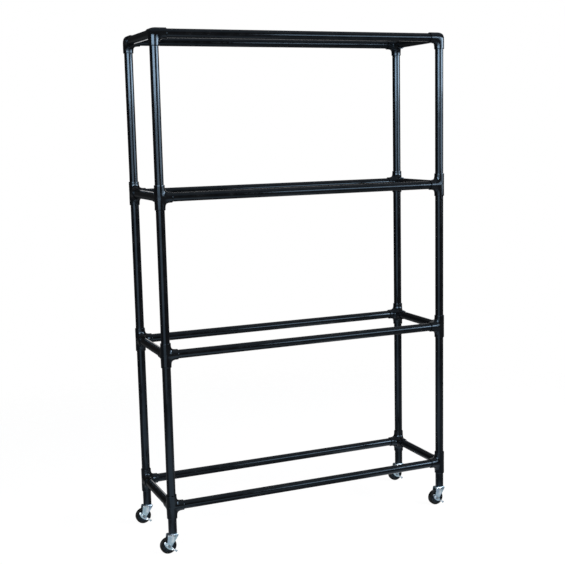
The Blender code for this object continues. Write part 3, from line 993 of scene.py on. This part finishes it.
race_cup = turned("race_cup", lifted(
    CROWN_TOP,
    (RACE_BORE, 0.00002), (RACE_RADIUS - 0.0002, 0.00002), (RACE_RADIUS, 0.0009),
    (RACE_RADIUS - 0.0006, 0.0009), (RACE_RADIUS - 0.0010, 0.0005), (RACE_BORE, 0.0005),
), TURNED_SIDES, 0.00012, 2)
race_cap = turned("race_cap", lifted(
    RACE_TOP,
    (STEM_RADIUS - 0.001, 0.0), (0.0128, 0.0), (CAP_RADIUS, -0.0005),
    (CAP_RADIUS, -0.0010), (0.0136, -0.0009), (STEM_RADIUS - 0.001, -0.0005),
), TURNED_SIDES, 0.00015, 2)
kingpin = turned("kingpin", lifted(
    CROWN_UNDERSIDE,
    (0.0, -0.004), (0.0055, -0.0038), (KINGPIN_RADIUS, -0.0014), (KINGPIN_RADIUS, 0.0005),
    (0.0, 0.0005),
), TURNED_SIDES, 0.0005, 3)
stem = turned("caster_stem", lifted(RACE_TOP, (0.0, -0.001), (STEM_RADIUS, -0.001)) + lifted(
    STEM_TOP,
    (STEM_RADIUS, -0.008), (STEM_RADIUS - STEM_GROOVE, -0.0075),
    (STEM_RADIUS - STEM_GROOVE, -0.0055), (STEM_RADIUS, -0.005), (STEM_RADIUS, -0.001),
    (STEM_RADIUS - 0.001, 0.0), (0.0, 0.0),
), TURNED_SIDES, 0.0002, 2)
plug = turned("socket_plug", lifted(
    LEG_END,
    (STEM_RADIUS + RUNNING_GAP, 0.0), (PLUG_RADIUS, 0.0), (PLUG_RADIUS, PLUG_LENGTH),
    (STEM_RADIUS + RUNNING_GAP, PLUG_LENGTH),
), TURNED_SIDES, 0.0006, 3)
ball = turned("race_ball", arc((0.0, 0.0), BALL_RADIUS, 90.0, -90.0, 6), BALL_SIDES)
race_balls = ring_of("race_balls", ball, BALL_COUNT, BALL_RING, turned_zinc)
race_balls.transform(Matrix.Translation((0.0, 0.0, (CROWN_TOP + RACE_TOP) / 2)))
for mesh in (race_balls, race_cup, race_cap, kingpin, stem, plug):
    smooth(mesh)
print("race of", BALL_COUNT, "balls, stem to", round(STEM_TOP, 4))

# %% [markdown]
# ## Caster: the pressed fork
# The real fork is one blank of 2.5 mm steel, cut out flat and folded over the wheel. Two flat
# drawings describe it: the inverted U seen along the rolling direction, and the outline seen
# from the side. Where both extrusions overlap is the fork, and a small bevel gives the rolled
# edges that a press leaves. Then a stiffening ridge is drawn up on each leg: it rises slowly
# from the wheel's side and ends at a crease, past which the leg's back part, the ear, folds in.
# That is done by cutting the mesh along the ridge's lines and moving its vertices.

# %% The fork's two drawings
FORK_INNER = 0.0121
FORK_OUTER = FORK_INNER + FORK_PLATE
FORK_BEND = 0.003
FORK_EYE_RADIUS = 0.009
CROWN_TOE = 0.0232
CROWN_HEEL = 0.0192
CROWN_ROUNDING = 0.006
FORK_HEEL_DROP = 0.002
UPRIGHT = Matrix.Rotation(math.pi / 2, 4, "X")
AT_AXLE = Matrix.Translation((-TRAIL, 0.0, WHEEL_RADIUS))


def fork_section():
    """The inverted U, with X across the wheel and Y up from the floor."""
    outer = FORK_BEND + FORK_PLATE
    right = (FORK_INNER - FORK_BEND, CROWN_UNDERSIDE - FORK_BEND)
    left = (-right[0], right[1])
    outside = arc(right, outer, 0.0, 90.0, 8) + arc(left, outer, 90.0, 180.0, 8)
    inside = arc(left, FORK_BEND, 180.0, 90.0, 6) + arc(right, FORK_BEND, 90.0, 0.0, 6)
    feet = [(-FORK_OUTER, 0.0), (-FORK_INNER, 0.0)]
    return [(FORK_OUTER, 0.0)] + outside + feet + inside + [(FORK_INNER, 0.0)]


def tangent_angle(point, centre, radius, side):
    """The angle at which a line from the point touches the circle, on its left or right side."""
    across = point[0] - centre[0]
    up = point[1] - centre[1]
    spread = math.acos(radius / math.hypot(across, up))
    return math.degrees(math.atan2(up, across) + side * spread)


def fork_outline():
    """The fork seen from the side, with the wheel trailing towards -X and Y up."""
    axle = (-TRAIL, WHEEL_RADIUS)
    above = CROWN_TOP + FORK_PLATE
    corner_height = CROWN_TOP - CROWN_ROUNDING
    toe_corner = (CROWN_ROUNDING - CROWN_TOE, corner_height)
    heel_corner = (CROWN_HEEL - CROWN_ROUNDING, corner_height)
    heel = (CROWN_HEEL, corner_height - FORK_HEEL_DROP)
    left = tangent_angle((-CROWN_TOE, corner_height), axle, FORK_EYE_RADIUS, 1)
    right = tangent_angle(heel, axle, FORK_EYE_RADIUS, -1)
    points = arc(axle, FORK_EYE_RADIUS, left, 360.0 + right, 24) + [heel]
    points += arc(heel_corner, CROWN_ROUNDING, 0.0, 75.0, 8)
    points += [(heel_corner[0], above), (toe_corner[0], above)]
    return points + arc(toe_corner, CROWN_ROUNDING, 105.0, 180.0, 8)


print("section of", len(fork_section()), "points, outline of", len(fork_outline()))

# %% Where the press draws the ridge up
RIDGE_START = 0.0115
RIDGE_END = 0.0405
RIDGE_RUN_OUT = 0.005
RIDGE_HEIGHT = 0.0013
EAR_BEND = 12.0
EAR_SOFT = 0.0015
NO_LENGTH = 1e-9
SHINE_EDGE = 0.007
SHINE_EDGE_SOFT = 0.003
BEND_SHINE_BELOW = 0.002
BEND_SHINE_SOFT = 0.0025
CROWN_SHINE_SOFT = 0.001


def line_beside_axle(start, end):
    """A line given by two (x, height) points from the axle: a point on it and its right side."""
    start, end = (Vector((x - TRAIL, 0.0, z + WHEEL_RADIUS)) for x, z in (start, end))
    along = (end - start).normalized()
    return start, Vector((along.z, 0.0, -along.x))


FOOT, FOOT_SIDE = line_beside_axle((0.004, 0.011), (0.007, 0.038))
CREASE, CREASE_SIDE = line_beside_axle((0.0172, 0.0165), (0.0206, 0.036))


def soft_step(value):
    """0 below nought, 1 above one, and an even curve between."""
    value = min(max(value, 0.0), 1.0)
    return value * value * (3 - 2 * value)


def above_axle(place):
    """0 at the axle, 1 once past the ridge's lower end."""
    return soft_step((place.z - WHEEL_RADIUS - RIDGE_START) / RIDGE_RUN_OUT)


def ridge_rise(place):
    """How far the ridge has risen across the leg: 0 at its foot, 1 at the crease and past it."""
    from_foot = max((place - FOOT).dot(FOOT_SIDE), 0.0)
    to_crease = max((CREASE - place).dot(CREASE_SIDE), 0.0)
    return (from_foot / (from_foot + to_crease + NO_LENGTH)) ** 2


def ridge_share(place):
    """The rise again, run out towards the axle and towards the bend under the crown."""
    below_crown = soft_step((WHEEL_RADIUS + RIDGE_END - place.z) / RIDGE_RUN_OUT)
    return ridge_rise(place) * above_axle(place) * below_crown


def ridge_shine(place):
    """The metal is burnished along the crease and on the bend to the crown, not on the ear, and there its
    colour is painted paler as a highlight.
    """
    on_ear = soft_step((place - CREASE).dot(CREASE_SIDE) / EAR_SOFT)
    beside_crown = soft_step((abs(place.y) - SHINE_EDGE) / SHINE_EDGE_SOFT)
    bend_start = CROWN_TOP - FORK_PLATE - FORK_BEND
    on_bend = soft_step((place.z - bend_start + BEND_SHINE_BELOW) / BEND_SHINE_SOFT)
    on_bend *= soft_step((CROWN_TOP - place.z) / CROWN_SHINE_SOFT)
    return max(ridge_rise(place) ** 0.6 * above_axle(place), on_bend) * (1 - on_ear) * beside_crown


print("crease beside the axle at", [round(c, 4) for c in CREASE])

# %% Fork
PRESSED_EDGE = 0.0005
ON_THE_CUT = 1e-6
LEG_SLACK = 1e-4
FOOT_TO_CREASE = 0.012
SECTION_BLANK = 0.12
OUTLINE_BLANK = 0.06
UP = Vector((0.0, 0.0, 1.0))


def cut_across(bm, start, side, reach, cuts):
    """Parallel cuts from a plane to one that lies a distance further along its normal."""
    for i in range(cuts):
        cut(bm, start + side * reach * i / (cuts - 1), side, ON_THE_CUT)


def press_ridge_and_ear(mesh):
    """Draws a ridge up on both legs and folds the leg's back part, the ear, towards the wheel."""
    with edited(mesh) as bm:
        cut_across(bm, FOOT, FOOT_SIDE, FOOT_TO_CREASE, cuts=11)
        cut_across(bm, CREASE, CREASE_SIDE, EAR_SOFT, cuts=3)
        cut_across(bm, UP * (WHEEL_RADIUS + RIDGE_START), UP, RIDGE_RUN_OUT, cuts=6)
        cut_across(bm, UP * (WHEEL_RADIUS + RIDGE_END), -UP, RIDGE_RUN_OUT, cuts=6)
        for vertex in bm.verts:
            outwards = math.copysign(1.0, vertex.co.y)
            behind = max((vertex.co - CREASE).dot(CREASE_SIDE), 0.0)
            fold = math.tan(math.radians(EAR_BEND)) * behind
            width_share = min(abs(vertex.co.y) / (FORK_INNER - FORK_BEND), 1.0)
            on_leg = abs(vertex.co.y) > FORK_INNER - LEG_SLACK
            rise = RIDGE_HEIGHT * ridge_share(vertex.co) if on_leg else 0.0
            vertex.co.y += outwards * (rise - fold * width_share)


def pressed_fork():
    section = plate("fork_section", [fork_section()], SECTION_BLANK)
    section.transform(Matrix.Rotation(math.pi / 2, 4, "Z") @ UPRIGHT)
    outline = plate("fork_outline", [fork_outline()], OUTLINE_BLANK)
    outline.transform(UPRIGHT)
    mesh = kept_where(section, outline, "INTERSECT", "pressed_fork")
    rolled = add_object("fork_rolled", mesh)
    add_bevel(rolled, PRESSED_EDGE, 45.0)
    mesh = settled(rolled, "pressed_fork")
    press_ridge_and_ear(mesh)
    # The share marks where the fork is burnished and painted paler as a highlight
    mark(mesh, "burnish_and_painted_highlight", ridge_shine)
    smooth(mesh, 30.0)
    return mesh


fork = pressed_fork()
print("fork", len(fork.polygons), "faces")

# %% [markdown]
# ## Caster: axle bolt and nut
# A hexagon alone looks like a stand-in. A real bolt head is a hexagon whose corners were turned
# off at an angle, so it is made as the overlap of a prism and a turned, chamfered disc. The nut
# has the raised collar of a locking nut.

# %% Bolt and nut
AXLE_RADIUS = 0.003
HEX_RADIUS = 0.0055
LEVER_PLATE = 0.002
LEVER_MIDDLE = FORK_OUTER + RUNNING_GAP + LEVER_PLATE / 2
HEAD_START = FORK_OUTER + LEVER_PLATE + 2 * RUNNING_GAP
HEAD_HEIGHT = 0.0027
NUT_HEIGHT = 0.004
FLAT_SHARE = 0.72
SHANK_SIDES = 32


def hex_piece(name, height, hole=0.0):
    """A hexagon from z = 0 up, with its outer corners turned off."""
    prism = plate(name + "_prism", [circle(HEX_RADIUS, 6)], 2 * height)
    lens = [
        (hole, 0.0), (HEX_RADIUS, 0.0), (HEX_RADIUS, height * FLAT_SHARE),
        (HEX_RADIUS * 0.86, height), (hole, height),
    ]
    return kept_where(turned(name + "_lens", lens, TURNED_SIDES), prism, "INTERSECT", name)


def axle_bolt():
    """The bolt along -Y, from its head outside the lever to its end in the nut."""
    head = hex_piece("bolt_head", HEAD_HEIGHT)
    head.transform(Matrix.Translation((0.0, 0.0, HEAD_START)))
    end = -(FORK_OUTER + NUT_HEIGHT - 0.0006)
    profile = [
        (0.0, end), (AXLE_RADIUS - 0.0004, end), (AXLE_RADIUS, end + 0.0005),
        (AXLE_RADIUS, HEAD_START), (0.0, HEAD_START),
    ]
    mesh = kept_where(head, turned("bolt_shank", profile, SHANK_SIDES, 0.0001, 1), "UNION", "axle_bolt")
    mesh.transform(UPRIGHT)
    return mesh


def axle_nut():
    """The locking nut on the fork's back leg, with its collar outwards."""
    body = hex_piece("nut_body", NUT_HEIGHT * FLAT_SHARE, AXLE_RADIUS)
    profile = [
        (AXLE_RADIUS, 0.0), (HEX_RADIUS * 0.80, 0.0), (HEX_RADIUS * 0.80, NUT_HEIGHT * 0.88),
        (HEX_RADIUS * 0.66, NUT_HEIGHT), (AXLE_RADIUS, NUT_HEIGHT),
    ]
    mesh = kept_where(body, turned("nut_collar", profile, SHANK_SIDES, 0.0002, 2), "UNION", "axle_nut")
    mesh.transform(Matrix.Translation((0.0, FORK_OUTER, 0.0)) @ Matrix.Rotation(-math.pi / 2, 4, "X"))
    return mesh


bolt, nut = axle_bolt(), axle_nut()
for mesh in (bolt, nut):
    mesh.transform(AT_AXLE)
    smooth(mesh, 30.0)
print("bolt", len(bolt.polygons), "faces, nut", len(nut.polygons), "faces")

# %% [markdown]
# ## Caster: the wheel
# The wheel is a hard rubber tyre on a nylon core, with a steel bushing through the hub. Tyre,
# core and bushing are turned. The core's web is stiffened by ribs that repeat round the hub on
# both sides, which is another job for the ring tree.

# %% Wheel
TREAD_HALF = 0.010
TYRE_INNER = 0.0243
HUB_RADIUS = 0.009
HUB_PROUD = 0.0015
DISH_DEPTH = 0.003
RIB_COUNT = 8
RIB_LENGTH = 0.0125
RIB_HALF = 0.0006
WHEEL_SIDES = 96
TREAD_START = 0.0022
TREAD_SOFT = 0.0015


def mirrored(profile):
    """A wheel's profile from one side's: the same points again, in reverse, below the middle."""
    return profile + [(radius, -height) for radius, height in reversed(profile) if height]


def on_tread(place):
    """0 on the tyre's sides and 1 on its tread."""
    above_side = math.hypot(place.x, place.y) - WHEEL_RADIUS + TREAD_START
    return min(max(above_side / TREAD_SOFT, 0.0), 1.0)


def tyre_mesh():
    """Slightly crowned across the tread, with the mould's flash line round its middle."""
    crown = WHEEL_RADIUS
    profile = [
        (TYRE_INNER, TREAD_HALF - 0.0006), (TYRE_INNER + 0.001, TREAD_HALF),
        (crown - 0.0034, TREAD_HALF), (crown - 0.0016, TREAD_HALF - 0.0006),
        (crown - 0.0004, TREAD_HALF - 0.0026), (crown - 0.0001, TREAD_HALF * 0.4),
        (crown - 0.0001, 0.0003), (crown, 0.0),
    ]
    mesh = turned("wheel_tyre", mirrored(profile), WHEEL_SIDES, 0.0006, 2)
    mark(mesh, "tread", on_tread)
    return mesh


def core_mesh():
    web = TREAD_HALF - DISH_DEPTH
    bore = AXLE_RADIUS + 0.0011
    hub_end = TREAD_HALF + HUB_PROUD
    profile = [
        (bore, hub_end), (HUB_RADIUS - 0.001, hub_end), (HUB_RADIUS, TREAD_HALF + 0.0004),
        (HUB_RADIUS + 0.002, web), (TYRE_INNER - 0.0028, web),
        (TYRE_INNER - 0.0018, TREAD_HALF - 0.0008), (TYRE_INNER + 0.0004, TREAD_HALF - 0.0008),
    ]
    body = turned("wheel_core", mirrored(profile), WHEEL_SIDES, 0.0004, 2)
    corners = [(0.0, -RIB_HALF), (RIB_LENGTH, -RIB_HALF), (RIB_LENGTH, RIB_HALF), (0.0, RIB_HALF)]
    rib = plate("core_rib", [rounded(corners, 0.0002)], 2 * (TREAD_HALF - 0.0012), 0.0002)
    ribs = ring_of("core_ribs", rib, RIB_COUNT, HUB_RADIUS, nylon_finish)
    return kept_where(body, ribs, "UNION", "wheel_core")


def bushing_mesh():
    bore = AXLE_RADIUS + 0.0002
    end = TREAD_HALF + HUB_PROUD + 0.0003
    return turned("wheel_bushing", mirrored([(bore, end), (bore + 0.0009, end)]), SHANK_SIDES, 0.00015, 2)


tyre, core, bushing = tyre_mesh(), core_mesh(), bushing_mesh()
for mesh in (tyre, core, bushing):
    mesh.transform(AT_AXLE @ UPRIGHT)
    smooth(mesh, 30.0)
print("tyre", len(tyre.polygons), "core", len(core.polygons), "bushing", len(bushing.polygons))

# %% [markdown]
# ## Caster: the brake lever
# The lever is a steel plate that turns on the axle, outside the fork. It lies along one slanted
# line: its top edge is straight, its lower edge is one broad arc, its high end is the foot lobe
# and its low end a narrow tip. So the outline is drawn in the lever's own directions, along and
# across, and turned into place. The pressed pad, the bent lobe and the tip's joggle are made by
# cutting the flat plate and moving its vertices, as a press would.

# %% The lever's outline and its pressed pad
LEVER_TOP = 0.0064
LEVER_DEPTH = 0.0100
LOBE_REACH = 0.0252
LOBE_WIDTH = 0.0062
PAD_MIDDLE = -0.0115
PAD_LENGTH = 0.0062
PAD_WIDTH = 0.0037
PAD_SOFT = 0.45
TIP_REACH = 0.0365
HALF_TIP = 0.003
TIP_ROOT_LOW = 0.0212
TIP_ROOT_HIGH = 0.0165
NECK = ((0.0130, 0.0034), (0.0100, 0.0047), (0.0065, LEVER_TOP))


def arc_through(a, b, c, steps):
    """Points on the circle through three points, from the first to the last."""
    a, b, c = Vector(a), Vector(b), Vector(c)
    p, q = b - a, c - a
    double = 2 * p.cross(q)
    centre = a + Vector((
        (q.y * p.length_squared - p.y * q.length_squared) / double,
        (p.x * q.length_squared - q.x * p.length_squared) / double,
    ))
    spoke = a - centre
    return swung(centre, spoke, math.atan2(spoke.cross(c - centre), spoke.dot(c - centre)), steps)


def lever_outline():
    """The flat plate, with X towards the tip and the axle at the origin."""
    lobe_foot = (-LOBE_REACH, LEVER_TOP - LOBE_WIDTH)
    lower = arc_through(lobe_foot, (0.0, -LEVER_DEPTH), (TIP_ROOT_LOW, -HALF_TIP), 20)
    tip = [(TIP_REACH, -HALF_TIP), (TIP_REACH, HALF_TIP), (TIP_ROOT_HIGH, HALF_TIP)]
    return [(-LOBE_REACH, LEVER_TOP), lobe_foot] + lower[2:] + tip + arc_through(*NECK, 4)


def pad_share(place):
    """How far the pressed pad rises at a place on the lever."""
    across = math.hypot((place.x - PAD_MIDDLE) / PAD_LENGTH, place.z / PAD_WIDTH)
    return soft_step((1.0 - across) / PAD_SOFT)


print("lever outline of", len(lever_outline()), "points")

# %% Brake lever
LOBE_BEND = 18.0
LOBE_BEND_START = 0.0175
LOBE_BEND_SOFT = 0.003
LOBE_BEND_EASE = 0.3
PAD_HEIGHT = 0.0007
JOGGLE_START = 0.013
JOGGLE_LENGTH = 0.007
JOGGLE_DEPTH = 0.0025
LOBE_SHINE_START = 0.0185
TIP_SHINE_END = 0.024
SHINE_SOFT = 0.004
JOGGLE_SHINE_SOFT = 0.002
TAB_HALF = 0.00425
TAB_LENGTH = 0.0045
TAB_PLATE = 0.0016
LEVER_EDGE = 0.0004
HOLE_SIDES = 24
LEVER_TURN = Matrix.Rotation(math.radians(38.0), 4, "Y")
ALONG = Vector((1.0, 0.0, 0.0))


def lever_tab():
    """The folded end of the tip: a short cross plate that reaches back over the tread."""
    corners = [(-TAB_HALF, 0.0), (TAB_HALF, 0.0), (TAB_HALF, TAB_LENGTH), (-TAB_HALF, TAB_LENGTH)]
    mesh = plate("lever_tab", [rounded(corners, 0.0009)], TAB_PLATE, 0.0003)
    axes = Matrix(((0.0, 0.0, -1.0), (0.0, 1.0, 0.0), (1.0, 0.0, 0.0)))
    outer_face = -(LEVER_MIDDLE + LEVER_PLATE / 2 + JOGGLE_DEPTH)
    mesh.transform(Matrix.Translation((TIP_REACH - TAB_PLATE / 2, outer_face, 0.0)) @ axes.to_4x4())
    return mesh


def lever_shine(place):
    """The pad, the lobe that shoes press on and the joggle are burnished, and there the colour is painted
    paler as a highlight.
    """
    on_lobe = soft_step((-place.x - LOBE_SHINE_START) / SHINE_SOFT)
    on_joggle = soft_step((place.x - JOGGLE_START) / JOGGLE_SHINE_SOFT)
    return max(pad_share(place), on_lobe, on_joggle * soft_step((TIP_SHINE_END - place.x) / SHINE_SOFT))


def lever_mesh():
    hole = circle(AXLE_RADIUS + RUNNING_GAP, HOLE_SIDES)
    mesh = plate("brake_lever_plate", [lever_outline(), hole], LEVER_PLATE, LEVER_EDGE)
    mesh.transform(Matrix.Translation((0.0, -LEVER_MIDDLE, 0.0)) @ UPRIGHT)
    with edited(mesh) as bm:
        cut_across(bm, ALONG * JOGGLE_START, ALONG, JOGGLE_LENGTH, cuts=9)
        cut_across(bm, ALONG * -LOBE_BEND_START, -ALONG, LOBE_BEND_SOFT, cuts=5)
        cut_across(bm, ALONG * (PAD_MIDDLE - PAD_LENGTH), ALONG, 2 * PAD_LENGTH, cuts=15)
        cut_across(bm, UP * -PAD_WIDTH, UP, 2 * PAD_WIDTH, cuts=11)
        for vertex in bm.verts:
            beyond = max(-LOBE_BEND_START - vertex.co.x, 0.0)
            bent = soft_step(LOBE_BEND_EASE + beyond / LOBE_BEND_SOFT)
            vertex.co.y += math.tan(math.radians(LOBE_BEND)) * beyond * bent
            vertex.co.y -= JOGGLE_DEPTH * soft_step((vertex.co.x - JOGGLE_START) / JOGGLE_LENGTH)
            vertex.co.y -= PAD_HEIGHT * pad_share(vertex.co)
    whole = joined("brake_lever_plate", [mesh, lever_tab()])
    # The share marks where the lever is burnished and painted paler as a highlight
    mark(whole, "burnish_and_painted_highlight", lever_shine)
    whole.transform(LEVER_TURN)
    whole.transform(AT_AXLE)
    smooth(whole, 40.0)
    return whole


lever = lever_mesh()
print("lever", len(lever.polygons), "faces")

# %% [markdown]
# ## Four casters
# One caster is made, and its meshes are copied under each post. Everything that swivels rides
# on that corner's swivel body, the wheel's pieces on its wheel body, and the lever on its brake
# body. The plug stays with the frame.

# %% Put the casters on the frame
ON_LEG = ("frame", "pipe", "leg_*")
ON_SWIVEL = ("swivel_*", "fork", "caster_fork_*")
ON_WHEEL = ("wheel_*", "wheel", "caster_wheel_*")
ON_BRAKE = ("brake_*", "lever", "brake_lever_*")
CASTER_PIECES = (
    ("socket_plug", plug, nylon_finish, ON_LEG),
    ("pressed_fork", fork, pressed_zinc, ON_SWIVEL),
    ("race_cup", race_cup, turned_zinc, ON_SWIVEL),
    ("race_cap", race_cap, turned_zinc, ON_SWIVEL),
    ("race_balls", race_balls, turned_zinc, ON_SWIVEL),
    ("kingpin", kingpin, turned_zinc, ON_SWIVEL),
    ("caster_stem", stem, turned_zinc, ON_SWIVEL),
    ("axle_bolt", bolt, dull_steel, ON_SWIVEL),
    ("axle_nut", nut, dull_steel, ON_SWIVEL),
    ("wheel_tyre", tyre, tyre_finish, ON_WHEEL),
    ("wheel_core", core, nylon_finish, ON_WHEEL),
    ("wheel_bushing", bushing, turned_zinc, ON_WHEEL),
    ("lever_plate", lever, lever_zinc, ON_BRAKE),
)

for corner in CORNERS:
    for name, mesh, material, words in CASTER_PIECES:
        body, slot, node = (word.replace("*", corner) for word in words)
        add_piece("%s_%s" % (name, corner), mesh, body, slot, material, node, (*POSTS[corner], 0.0))
print("4 casters in place")

# %% [markdown]
# ## Floor
# The floor is a pale disc under the rack that fades out before its rim, so no edge shows
# against the pale background. It is diffuse, which lets it hold the casters' soft shadows, and
# to the camera it glows white. Glossy pieces see that glow only where pale cards would lie on a
# studio's floor: a large one in front of the rack and a small one by each caster. That lights
# the zinc and the middle of the lower posts, and leaves the posts' sides black.

# %% Floor
FLOOR_RADIUS = 3.4
FLOOR_FADE = (1.7, FLOOR_RADIUS * 0.9)
FLOOR_TONES = ((0.145, 0.145, 0.150, 1.0), (0.155, 0.155, 0.155, 1.0))
FLOOR_CLOUDS = 30.0
FLOOR_GLOW = 0.93
BARE_FLOOR = 0.08
FRONT_CARD = 0.75
FRONT_CARD_EDGE = (-0.62, -0.42)
FRONT_CARD_RIGHT = (-0.3, 0.8)
FRONT_CARD_LEFT = (-2.4, -1.4)
POST_CARD = 0.65
POST_CARD_EDGE = (0.16, 0.26)
CARD_OFFSET = Vector((-0.05, -0.10, 0.0))


def floor_cards(place):
    """How much of the floor's glow shows to glossy pieces, over the floor."""
    at = parts(place)
    front = ramp(at["Y"], *FRONT_CARD_EDGE, FRONT_CARD, 0.0)
    front = times(front, ramp(at["X"], *FRONT_CARD_RIGHT, 1.0, 0.0))
    front = times(front, ramp(at["X"], *FRONT_CARD_LEFT))
    shown = greater(front, BARE_FLOOR)
    for post in POSTS.values():
        away = vector_maths("DISTANCE", place, Vector((*post, 0.0)) + CARD_OFFSET)
        shown = greater(shown, ramp(away, *POST_CARD_EDGE, POST_CARD, 0.0))
    return shown


def seen_directly(path):
    """1 for what the camera sees, straight or through something clear."""
    return greater(path["Is Camera Ray"], path["Is Transmission Ray"])


def floor_finish():
    material = bpy.data.materials.new("pale_floor")
    material.use_nodes = True
    tree = material.node_tree
    tree.nodes.clear()
    place = object_place(tree)
    colour = blend(ramp(noise(place, FLOOR_CLOUDS, 3.0), 0.3, 0.7), *FLOOR_TONES)
    path = tree.nodes.new("ShaderNodeLightPath").outputs
    mirrored_glow = times(path["Is Glossy Ray"], floor_cards(place))
    strength = times(greater(seen_directly(path), mirrored_glow), FLOOR_GLOW)
    diffuse = first(tree, "ShaderNodeBsdfDiffuse", {"Color": colour})
    glow = first(tree, "ShaderNodeEmission", {"Strength": strength})
    lit = first(tree, "ShaderNodeAddShader", {0: diffuse, 1: glow})
    clear = first(tree, "ShaderNodeBsdfTransparent")
    fade = ramp(vector_maths("LENGTH", place), *FLOOR_FADE)
    mixed = first(tree, "ShaderNodeMixShader", {0: fade, 1: lit, 2: clear})
    add_node(tree, "ShaderNodeOutputMaterial", {"Surface": mixed})
    return material


floor_mesh = bpy.data.meshes.new("floor")
with edited(floor_mesh) as bm:
    bmesh.ops.create_circle(bm, cap_ends=True, segments=96, radius=FLOOR_RADIUS)
floor_mesh.materials.append(floor_finish())
floor = add_object("floor", floor_mesh)
print("floor radius", FLOOR_RADIUS)

# %% [markdown]
# ## Light
# Two soft boxes stand in front of the rack, a wide one to the left and a narrower one to the
# right. Each is a stack of bands, the brightest at the top. On a round post the first draws a
# broad highlight and the second a thin one, and both fade down the posts, as in the
# photograph. A fill between them softens the change. The world adds a pale ceiling, a dim room
# in front and a pale backdrop behind, and shows plain white to the camera.

# %% Soft boxes
# A name, a place on the floor, a width, and the bands: each one's low and high edge and radiance
SOFT_BOXES = (
    ("left_box", (-2.80, -3.64), 4.0,
     ((1.85, 2.65, 11.5), (1.0, 1.85, 2.3), (0.2, 1.0, 1.1), (-0.45, 0.2, 0.8))),
    ("right_box", (3.0, -2.0), 2.3, ((1.85, 2.65, 13.0), (1.15, 1.85, 3.0))),
    ("front_fill", (2.0, -3.3), 1.5, ((1.3, 2.6, 4.0),)),
)


def add_band(name, place, width, low, high, radiance):
    """One band of a soft box, upright, facing the rack's middle."""
    light = bpy.data.lights.new(name, "AREA")
    light.shape = "RECTANGLE"
    light.size = width
    light.size_y = high - low
    light.energy = radiance * math.pi * width * (high - low)
    panel = add_object(name, light)
    panel.visible_camera = False
    panel.location = (*place, (low + high) / 2)
    towards = Vector((-place[0], -place[1], 0.0))
    panel.rotation_euler = towards.to_track_quat("-Z", "Y").to_euler()


for name, place, width, bands in SOFT_BOXES:
    for low, high, radiance in bands:
        add_band("%s_%d" % (name, round(100 * low)), place, width, low, high, radiance)

# %% World
BACKDROP_WAY = (0.39, 0.92, 0.0)
BACKDROP_EDGE = (0.95, 0.985)
# How far up a direction points, from and to, then the radiance at each
CEILING = (0.35, 0.85, 0.03, 0.30)
GROUND = (-0.25, -0.02, 0.07, 0.03)
ROOM_TINT = (0.93, 0.96, 1.0, 1.0)
WHITE = (1.0, 1.0, 1.0, 1.0)


def build_world():
    world = bpy.data.worlds.new("studio")
    bpy.context.scene.world = world
    world.use_nodes = True
    tree = world.node_tree
    tree.nodes.clear()
    direction = tree.nodes.new("ShaderNodeTexCoord").outputs["Generated"]
    height = parts(direction)["Z"]
    behind = ramp(vector_maths("DOT_PRODUCT", direction, BACKDROP_WAY), *BACKDROP_EDGE)
    room = greater(greater(ramp(height, *CEILING), ramp(height, *GROUND)), behind)
    path = tree.nodes.new("ShaderNodeLightPath").outputs
    seen = greater(seen_directly(path), times(path["Is Glossy Ray"], behind))
    background = first(tree, "ShaderNodeBackground", {
        "Color": blend(seen, ROOM_TINT, WHITE),
        "Strength": first(tree, "ShaderNodeMix", {0: seen, 2: room, 3: 1.0}),
    })
    add_node(tree, "ShaderNodeOutputWorld", {"Surface": background})


build_world()
bpy.context.scene.view_settings.view_transform = "Standard"
print("world", bpy.context.scene.world.name)
